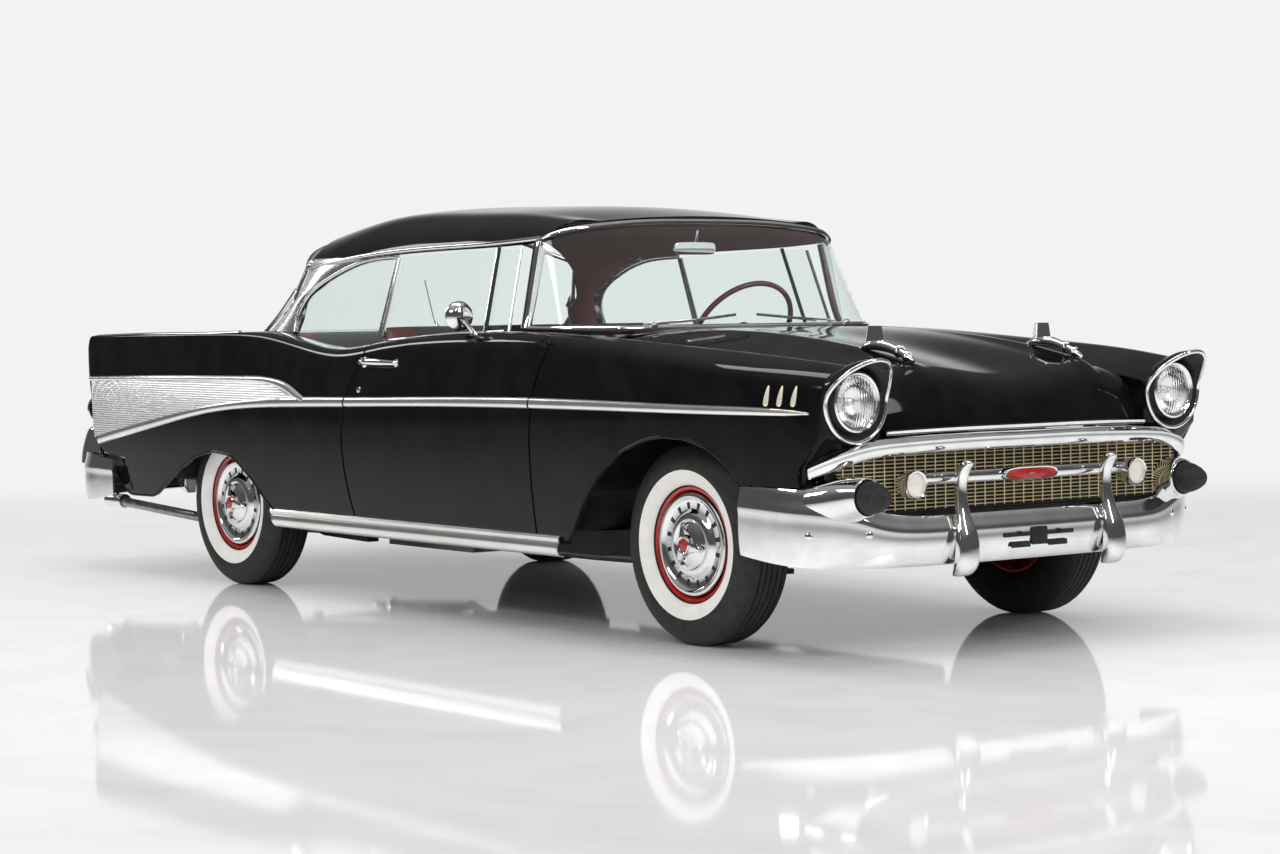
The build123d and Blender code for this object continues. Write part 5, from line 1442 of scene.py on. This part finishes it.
def build_steering_wheel():
    """A thin red rim with two flat arms, a half ring that sounds the horn and a plain boss."""
    top, foot = np.array([520.0, 380, 1020]), np.array([1190.0, 330, 560])
    axis = (top - foot) / np.linalg.norm(top - foot)
    side = np.cross(axis, (0, 0, 1))
    side /= np.linalg.norm(side)
    rise = np.cross(side, axis)
    a = np.linspace(0, 2 * math.pi, 96, endpoint=False)

    def ring(radius, lift, start=0.0, end=2 * math.pi, count=96):
        a = np.linspace(start, end, count, endpoint=abs(end - start) < 6.2)
        return top + axis * lift + radius * (np.cos(a)[:, None] * side + np.sin(a)[:, None] * rise)

    rim = tube(ring(212, 0), 10.5, 14, up=axis, loop=True)
    arms = [tube(smooth_path([top - axis * 12 + side * s * 30, top - axis * 8 + side * s * 120,
                              top + side * s * 206], 20), (9, 4), 12, up=axis) for s in (1, -1)]
    hub = lathe([(0.5, 12), (20, 11), (32, 6), (36, -4), (36, -34), (0.5, -34)], top, axis, 48)
    horn = tube(ring(120, 4, math.pi * 1.05, math.pi * 1.95, 60), 4, 10, up=axis)
    boss = lathe([(0.5, 18), (14, 17), (18, 12), (0.5, 12)], top, axis, 32)
    points, faces, numbers = joined(rim, *arms, hub[:2], horn, boss[:2])
    slots = [0 if n < 4 else 1 for n in numbers]
    add_mesh("steering_rim", points, faces, ["wheel_plastic", "chrome"], "steering_wheel", slots, angle=45,
             replaces=["steering_wheel"], slot="seat_cloth")


# finishes of the frame's own nodes that stay in view
NODE_FINISHES = {
    "frame": "chassis", "floor_pan": "chassis", "boot_tub": "chassis", "engine": "iron", "radiator": "black",
    "exhaust": "steel", "fuel_tank": "steel", "leaf_springs": "chassis", "rear_axle": "chassis",
    "drive_shaft": "steel", "front_suspension": "chassis", "knuckle_left": "steel", "knuckle_right": "steel",
    "tie_rod": "steel", "steering_column": "black", "door_hinges": "steel", "inner_fenders": "chassis",
}


def use_finish(node, finish_name):
    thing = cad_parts[node]
    thing.data.materials.clear()
    thing.data.materials.append(M[finish_name])


def dress_frame():
    for node, finish_name in NODE_FINISHES.items():
        use_finish(node, finish_name)


def tyre_profile():
    """The tyre's section as (radius, outward distance)."""
    tread = []
    for k in range(5):
        y = 46 - 23 * k
        tread += [(334, y + 9), (334, y + 2.5), (328, y + 2), (328, y - 2), (334, y - 2.5), (334, y - 9)]
    outer = [(192, 62), (196, 74), (204, 82), (222, 90), (236, 94), (245, 96), (247, 96.6), (252, 97.6), (270, 98),
             (290, 94), (304, 88), (314, 81), (322, 75), (328, 67), (331, 62)]
    inner = [(r, -y) for r, y in reversed(outer)]
    return outer + tread + inner


def build_wheels():
    for end, x in (("front", X_FRONT_AXLE), ("rear", X_REAR_AXLE)):
        for side, sign in (("left", 1), ("right", -1)):
            build_wheel(end, side, sign, np.array([x, sign * HALF_TRACKS[end], Z_HUB]))


def build_wheel(end, side, sign, centre):
    body = f"wheel_{end}_{side}"
    axis = (0, sign, 0)
    points, faces, nv = lathe(tyre_profile(), (0, 0, 0), axis, 120)
    band = [f[0] % nv for f in faces]
    slots = [1 if 1 <= b < 6 else 0 for b in band]
    ribs, rib_faces = tread_blocks(axis)
    points, faces, _ = joined((points, faces), (ribs, rib_faces))
    slots = slots + [0] * len(rib_faces)
    add_mesh(f"tyre_{end}_{side}_dressed", points + centre, faces, ["tyre", "whitewall"], body, slots, angle=28,
             replaces=[f"tyre_{end}_{side}"], slot="tyre")
    rim = [(150, 30), (165, 32), (172, 44), (176, 60), (182, 68), (190, 70), (193, 66), (190, 62), (184, 50),
           (180, 20), (180, -60), (186, -70), (176, -72), (168, -50), (168, 10), (150, 20)]
    p1, f1, _ = lathe(rim, (0, 0, 0), axis, 96)
    drum = [(30, -12), (140, -12), (142, -20), (142, -50), (138, -56), (128, -56), (128, -30), (30, -30)]
    p2, f2, _ = lathe(drum, (0, 0, 0), axis, 64)
    points, faces, slots = joined((p1, f1), (p2, f2))
    add_mesh(f"rim_{end}_{side}", points + centre, faces, ["rim_red", "chassis"], body, slots,
             replaces=[f"wheel_{end}_{side}"], slot="wheel_chrome")
    cover = [(170, 62), (171, 66), (168, 71), (162, 73), (156, 72), (152, 68), (146, 64), (140, 62), (118, 62),
             (112, 66), (106, 72), (100, 76), (92, 78), (84, 78), (80, 74), (76, 72), (60, 80), (44, 86), (30, 89),
             (12, 90), (0.5, 90), (0.5, 84), (60, 72), (90, 68), (120, 56), (165, 58)]
    p3, f3, nv3 = lathe(cover, (0, 0, 0), axis, 160)
    # the cover's ring of sixteen slots is drawn as closed faces in satin black, not as openings: painted shade for
    # the dark seen through the slots
    cover_slots_with_painted_shade = []
    for f in f3:
        around, row = f[0] // nv3, f[0] % nv3
        painted_slot_shade = row in (7,) and (around % 10) in (3, 4, 5)
        cover_slots_with_painted_shade.append(1 if painted_slot_shade else 0)
    spinner, spinner_faces = spinner_mesh(axis)
    badge, badge_faces, _ = lathe([(0.5, 108), (14, 108), (21, 106), (23, 104), (23, 98), (0.5, 98)], (0, 0, 0),
                                  axis, 48)
    ring, ring_faces, _ = lathe([(23.5, 98), (23.5, 108), (27, 110), (30, 107), (31, 98)], (0, 0, 0), axis, 48)
    points, faces, numbers = joined((p3, f3), (spinner, spinner_faces), (badge, badge_faces), (ring, ring_faces))
    slots = cover_slots_with_painted_shade + [{1: 0, 2: 2, 3: 0}[n] for n in numbers[len(f3):]]
    add_mesh(f"wheel_cover_{end}_{side}", points + centre, faces, ["chrome", "black", "rim_red"], body, slots,
             slot="wheel_chrome")


def tread_blocks(axis):
    """Fine ribs round both shoulders of the tyre."""
    points, faces = [], []
    sign = axis[1]
    for k in range(150):
        a = 2 * math.pi * k / 150
        for y in (1, -1):
            corners = []
            for da in (-0.011, 0.011):
                for r, w in ((333.2, 58), (324, 73.5), (320, 71), (328, 56)):
                    corners.append((math.cos(a + da) * r, sign * y * w, math.sin(a + da) * r))
            start = len(points)
            points += corners
            quads = [(0, 1, 2, 3), (7, 6, 5, 4), (0, 4, 5, 1), (1, 5, 6, 2), (2, 6, 7, 3), (3, 7, 4, 0)]
            if sign * y > 0:
                quads = flipped(quads)
            faces += [tuple(start + v for v in q) for q in quads]
    return np.array(points), faces


def spinner_mesh(axis):
    """The bright three-armed boss at the middle of a wheel cover."""
    sign = axis[1]
    points, faces = [], []
    for arm in range(3):
        a = math.radians(90 + 120 * arm + 20)
        way, across = np.array([math.cos(a), 0, math.sin(a)]), np.array([-math.sin(a), 0, math.cos(a)])
        rows = [(0, 27, 90, 106), (24, 25, 89, 106), (40, 17, 88, 103), (58, 12, 86, 99), (72, 9, 82, 94),
                (78, 4, 82, 88)]
        start = len(points)
        for r, half, low, high in rows:
            for s, y in ((-1, low), (-0.75, high - 3), (0, high), (0.75, high - 3), (1, low)):
                points.append(way * r + across * half * s + np.array([0, sign * y, 0]))
        for i in range(len(rows) - 1):
            for j in range(4):
                a0 = start + i * 5 + j
                faces.append((a0, a0 + 1, a0 + 6, a0 + 5))
            faces.append((start + i * 5 + 4, start + i * 5, start + i * 5 + 5, start + i * 5 + 9))
        faces.append(tuple(start + (len(rows) - 1) * 5 + j for j in range(5)))
        faces.append(tuple(start + j for j in (4, 3, 2, 1, 0)))
    if sign < 0:
        faces = flipped(faces)
    return np.array(points), faces


def toward(tree, source, direction):
    """How far a vector reaches along a direction."""
    dot = tree.nodes.new("ShaderNodeVectorMath")
    dot.operation = "DOT_PRODUCT"
    dot.inputs[1].default_value = direction
    tree.links.new(source, dot.inputs[0])
    return dot.outputs["Value"]


def faded(tree, source, low, high, out_low, out_high):
    """A value carried smoothly from one range to another."""
    spread = tree.nodes.new("ShaderNodeMapRange")
    spread.interpolation_type = "SMOOTHSTEP"
    for name, value in zip(("From Min", "From Max", "To Min", "To Max"), (low, high, out_low, out_high)):
        spread.inputs[name].default_value = value
    tree.links.new(source, spread.inputs["Value"])
    return spread.outputs["Result"]


def mixed(tree, factor, first, second):
    mix = tree.nodes.new("ShaderNodeMixShader")
    tree.links.new(factor, mix.inputs["Fac"])
    tree.links.new(first, mix.inputs[1])
    tree.links.new(second, mix.inputs[2])
    return mix.outputs["Shader"]


def build_floor(away):
    """A pale glossy floor that fades into the background behind the car."""
    material = bpy.data.materials.new("pale_glossy_floor")
    material.use_nodes = True
    tree = material.node_tree
    shader = tree.nodes["Principled BSDF"]
    shader.inputs["Roughness"].default_value = 0.05
    shader.inputs["Specular IOR Level"].default_value = 0.12
    place = tree.nodes.new("ShaderNodeTexCoord")
    noise = node_of(tree, "ShaderNodeTexNoise", Scale=1.6, Detail=6.0, Distortion=1.5)
    tree.links.new(place.outputs["Object"], noise.inputs["Vector"])
    ramp = tree.nodes.new("ShaderNodeValToRGB")
    ramp.color_ramp.elements[0].position, ramp.color_ramp.elements[1].position = 0.3, 0.6
    ramp.color_ramp.elements[0].color = (0.78, 0.78, 0.785, 1)
    ramp.color_ramp.elements[1].color = (0.84, 0.84, 0.84, 1)
    tree.links.new(noise.outputs["Fac"], ramp.inputs["Fac"])
    tree.links.new(ramp.outputs["Color"], shader.inputs["Base Color"])
    clear = tree.nodes.new("ShaderNodeBsdfTransparent")
    fade = faded(tree, toward(tree, place.outputs["Object"], away), 3.2, 7.5, 0.0, 1.0)
    output = tree.nodes["Material Output"]
    tree.links.new(mixed(tree, fade, shader.outputs["BSDF"], clear.outputs["BSDF"]), output.inputs["Surface"])
    size = 40.0
    mesh = bpy.data.meshes.new("floor")
    mesh.from_pydata([(-size, -size, 0), (size, -size, 0), (size, size, 0), (-size, size, 0)], [], [(0, 1, 2, 3)])
    mesh.materials.append(material)
    floor = bpy.data.objects.new("floor", mesh)
    bpy.context.scene.collection.objects.link(floor)


def build_world(looks, away):
    """A white studio: its near side is dark to what is polished, as the space behind a camera is."""
    world = bpy.data.worlds.new("studio")
    bpy.context.scene.world = world
    world.use_nodes = True
    tree = world.node_tree
    tree.nodes.clear()
    output = tree.nodes.new("ShaderNodeOutputWorld")
    seen, even, polished = (tree.nodes.new("ShaderNodeBackground") for _ in range(3))
    seen.inputs["Color"].default_value = (0.89, 0.89, 0.89, 1)
    even.inputs["Color"].default_value = (1, 1, 1, 1)
    even.inputs["Strength"].default_value = looks.room_light
    place = tree.nodes.new("ShaderNodeTexCoord")
    level = toward(tree, place.outputs["Generated"], (0, 0, 1))
    behind = faded(tree, toward(tree, place.outputs["Generated"], away), 0.55, 0.92, 0.0, 0.85)
    low = faded(tree, level, 0.10, 0.40, 1.0, 0.2)
    far_part = tree.nodes.new("ShaderNodeMath")
    far_part.operation = "MULTIPLY"
    tree.links.new(behind, far_part.inputs[0])
    tree.links.new(low, far_part.inputs[1])
    far = far_part.outputs["Value"]
    high = faded(tree, level, 0.25, 0.9, looks.studio_dark, 0.42)
    most = tree.nodes.new("ShaderNodeMath")
    most.operation = "MAXIMUM"
    tree.links.new(far, most.inputs[0])
    tree.links.new(high, most.inputs[1])
    tree.links.new(most.outputs["Value"], polished.inputs["Strength"])
    path = tree.nodes.new("ShaderNodeLightPath")
    direct = tree.nodes.new("ShaderNodeMath")
    direct.operation = "MAXIMUM"
    tree.links.new(path.outputs["Is Camera Ray"], direct.inputs[0])
    tree.links.new(path.outputs["Is Transmission Ray"], direct.inputs[1])
    surface = mixed(tree, path.outputs["Is Glossy Ray"], even.outputs["Background"], polished.outputs["Background"])
    surface = mixed(tree, direct.outputs["Value"], surface, seen.outputs["Background"])
    tree.links.new(surface, output.inputs["Surface"])


# the lamps: name, place, aim, width and height in metres, power in watts
LAMPS = [
    ("overhead", (0.2, -0.6, 5.2), (0, 0, 0.8), 5.0, 1.2, 110),
    ("side_box", (1.5, -7.5, 5.6), (0.3, 0, 0.8), 4.0, 1.4, 120),
    ("nose_box", (8.0, 1.2, 4.8), (1.8, 0, 0.8), 1.2, 3.0, 90),
    ("tail_box", (-6.5, -2.5, 4.2), (-1.2, 0, 0.8), 0.8, 3.0, 60),
    ("ceiling_1", (4.6, -1.3, 3.9), (1.9, 0, 0.9), 0.10, 0.10, 9),
    ("ceiling_2", (5.4, -0.2, 4.0), (1.9, 0, 0.9), 0.10, 0.10, 9),
    ("ceiling_3", (4.2, -2.6, 3.8), (1.9, 0, 0.9), 0.10, 0.10, 9),
]


def build_stage(looks):
    scene = bpy.context.scene
    scene.view_settings.view_transform = "Standard"
    yaw = math.radians(CAMERA["yaw"])
    away = (-math.sin(yaw), math.cos(yaw), 0)
    build_floor(away)
    build_world(looks, away)
    for name, place, aim, width, height, power in LAMPS:
        lamp = bpy.data.lights.new(name, "AREA")
        lamp.shape, lamp.size, lamp.size_y, lamp.energy = "RECTANGLE", width, height, power
        holder = bpy.data.objects.new(name, lamp)
        holder.location = place
        holder.rotation_euler = (Vector(aim) - Vector(place)).to_track_quat("-Z", "Y").to_euler()
        scene.collection.objects.link(holder)

    camera = bpy.data.objects.new("camera", bpy.data.cameras.new("camera"))
    scene.collection.objects.link(camera)
    yaw, pitch, roll = math.radians(CAMERA["yaw"]), math.radians(CAMERA["down"]), math.radians(CAMERA["roll"])
    ahead = Vector((-math.sin(yaw) * math.cos(pitch), math.cos(yaw) * math.cos(pitch), -math.sin(pitch)))
    right = Vector((math.cos(yaw), math.sin(yaw), 0))
    up = right.cross(ahead)
    r2 = math.cos(roll) * right + math.sin(roll) * up
    u2 = -math.sin(roll) * right + math.cos(roll) * up
    matrix = camera.matrix_world.to_3x3()
    for row in range(3):
        matrix[row][0], matrix[row][1], matrix[row][2] = r2[row], u2[row], -ahead[row]
    camera.rotation_euler = matrix.to_euler()
    camera.location = CAMERA["place"]
    camera.data.sensor_width = 36.0
    camera.data.lens = CAMERA["lens"]
    camera.data.clip_end = 200
    scene.camera = camera


# the camera that took the photograph: place in metres, angles in degrees, lens in millimetres
CAMERA = {"place": (9.353, -6.975, 1.153), "yaw": 52.183, "down": 2.503, "roll": -0.5636, "lens": 84.48}


class HardtopLooks(bpy.types.PropertyGroup):
    paint_colour: bpy.props.FloatVectorProperty(
        name="Paint", description="Colour of the body paint", default=(0.004, 0.004, 0.005), subtype="COLOR")
    cloth_colour: bpy.props.FloatVectorProperty(
        name="Seat cloth", description="Main colour of the seats", default=(0.22, 0.03, 0.028), subtype="COLOR")
    glass_colour: bpy.props.FloatVectorProperty(
        name="Glass tint", description="Tint of the windows", default=(0.93, 0.985, 0.97), subtype="COLOR")
    room_light: bpy.props.FloatProperty(
        name="Room light", description="Strength of the even light around the car", default=0.85, min=0.0)
    studio_dark: bpy.props.FloatProperty(
        name="Studio dark", description="What polished parts see of the space behind the camera", default=0.10,
        min=0.0)


class HARDTOP_OT_stage(bpy.types.Operator):
    """Makes the floor, the lights and the camera"""
    bl_idname = "hardtop.stage"
    bl_label = "Stage"

    def execute(self, context):
        make_finishes(context.scene.hardtop_looks)
        build_stage(context.scene.hardtop_looks)
        return {"FINISHED"}


class HARDTOP_OT_side_panels(bpy.types.Operator):
    """Makes the fenders, the doors' skins and the rear quarters"""
    bl_idname = "hardtop.side_panels"
    bl_label = "Side panels"

    def execute(self, context):
        build_side_panels()
        return {"FINISHED"}


class HARDTOP_OT_top_panels(bpy.types.Operator):
    """Makes the hood, the roof and the boot lid"""
    bl_idname = "hardtop.top_panels"
    bl_label = "Hood, roof and boot lid"

    def execute(self, context):
        build_hood()
        build_roof()
        build_boot_lid()
        return {"FINISHED"}


class HARDTOP_OT_side_trim(bpy.types.Operator):
    """Makes the mouldings, louvres, handles and the other bright parts of the sides"""
    bl_idname = "hardtop.side_trim"
    bl_label = "Side trim"

    def execute(self, context):
        build_side_trim()
        return {"FINISHED"}


class HARDTOP_OT_front_end(bpy.types.Operator):
    """Makes the headlamps, the grille, both bumpers and the hood's ornaments"""
    bl_idname = "hardtop.front_end"
    bl_label = "Lamps, grille and bumpers"

    def execute(self, context):
        build_headlamps()
        build_grille()
        build_bumpers()
        build_hood_trim()
        return {"FINISHED"}


class HARDTOP_OT_glass(bpy.types.Operator):
    """Makes the windows, their frames, the cowl and the rear shelf"""
    bl_idname = "hardtop.glass"
    bl_label = "Glass and frames"

    def execute(self, context):
        build_glass()
        build_scuttle()
        build_rear_end()
        build_small_parts()
        return {"FINISHED"}


class HARDTOP_OT_cabin(bpy.types.Operator):
    """Makes the seats, the dash, the steering wheel and the trim inside"""
    bl_idname = "hardtop.cabin"
    bl_label = "Cabin"

    def execute(self, context):
        build_seats()
        build_cabin()
        dress_frame()
        return {"FINISHED"}


class HARDTOP_OT_wheels(bpy.types.Operator):
    """Makes the tyres, rims and covers"""
    bl_idname = "hardtop.wheels"
    bl_label = "Wheels"

    def execute(self, context):
        build_wheels()
        return {"FINISHED"}


OPERATORS = [HARDTOP_OT_stage, HARDTOP_OT_side_panels, HARDTOP_OT_top_panels, HARDTOP_OT_side_trim,
             HARDTOP_OT_front_end, HARDTOP_OT_glass, HARDTOP_OT_cabin, HARDTOP_OT_wheels]


class HARDTOP_PT_panel(bpy.types.Panel):
    """Lists the car's piece makers"""
    bl_label = "Hardtop car"
    bl_idname = "HARDTOP_PT_panel"
    bl_space_type = "VIEW_3D"
    bl_region_type = "UI"
    bl_category = "Hardtop car"

    def draw(self, context):
        looks = context.scene.hardtop_looks
        for name in HardtopLooks.__annotations__:
            self.layout.prop(looks, name)
        for operator in OPERATORS:
            self.layout.operator(operator.bl_idname)


def register():
    for kind in (HardtopLooks, *OPERATORS, HARDTOP_PT_panel):
        bpy.utils.register_class(kind)
    bpy.types.Scene.hardtop_looks = bpy.props.PointerProperty(type=HardtopLooks)


def unregister():
    del bpy.types.Scene.hardtop_looks
    for kind in (HARDTOP_PT_panel, *reversed(OPERATORS), HardtopLooks):
        bpy.utils.unregister_class(kind)


def main():
    register()
    for operator in OPERATORS:
        group, name = operator.bl_idname.split(".")
        getattr(getattr(bpy.ops, group), name)()


if __name__ == "__main__":
    main()
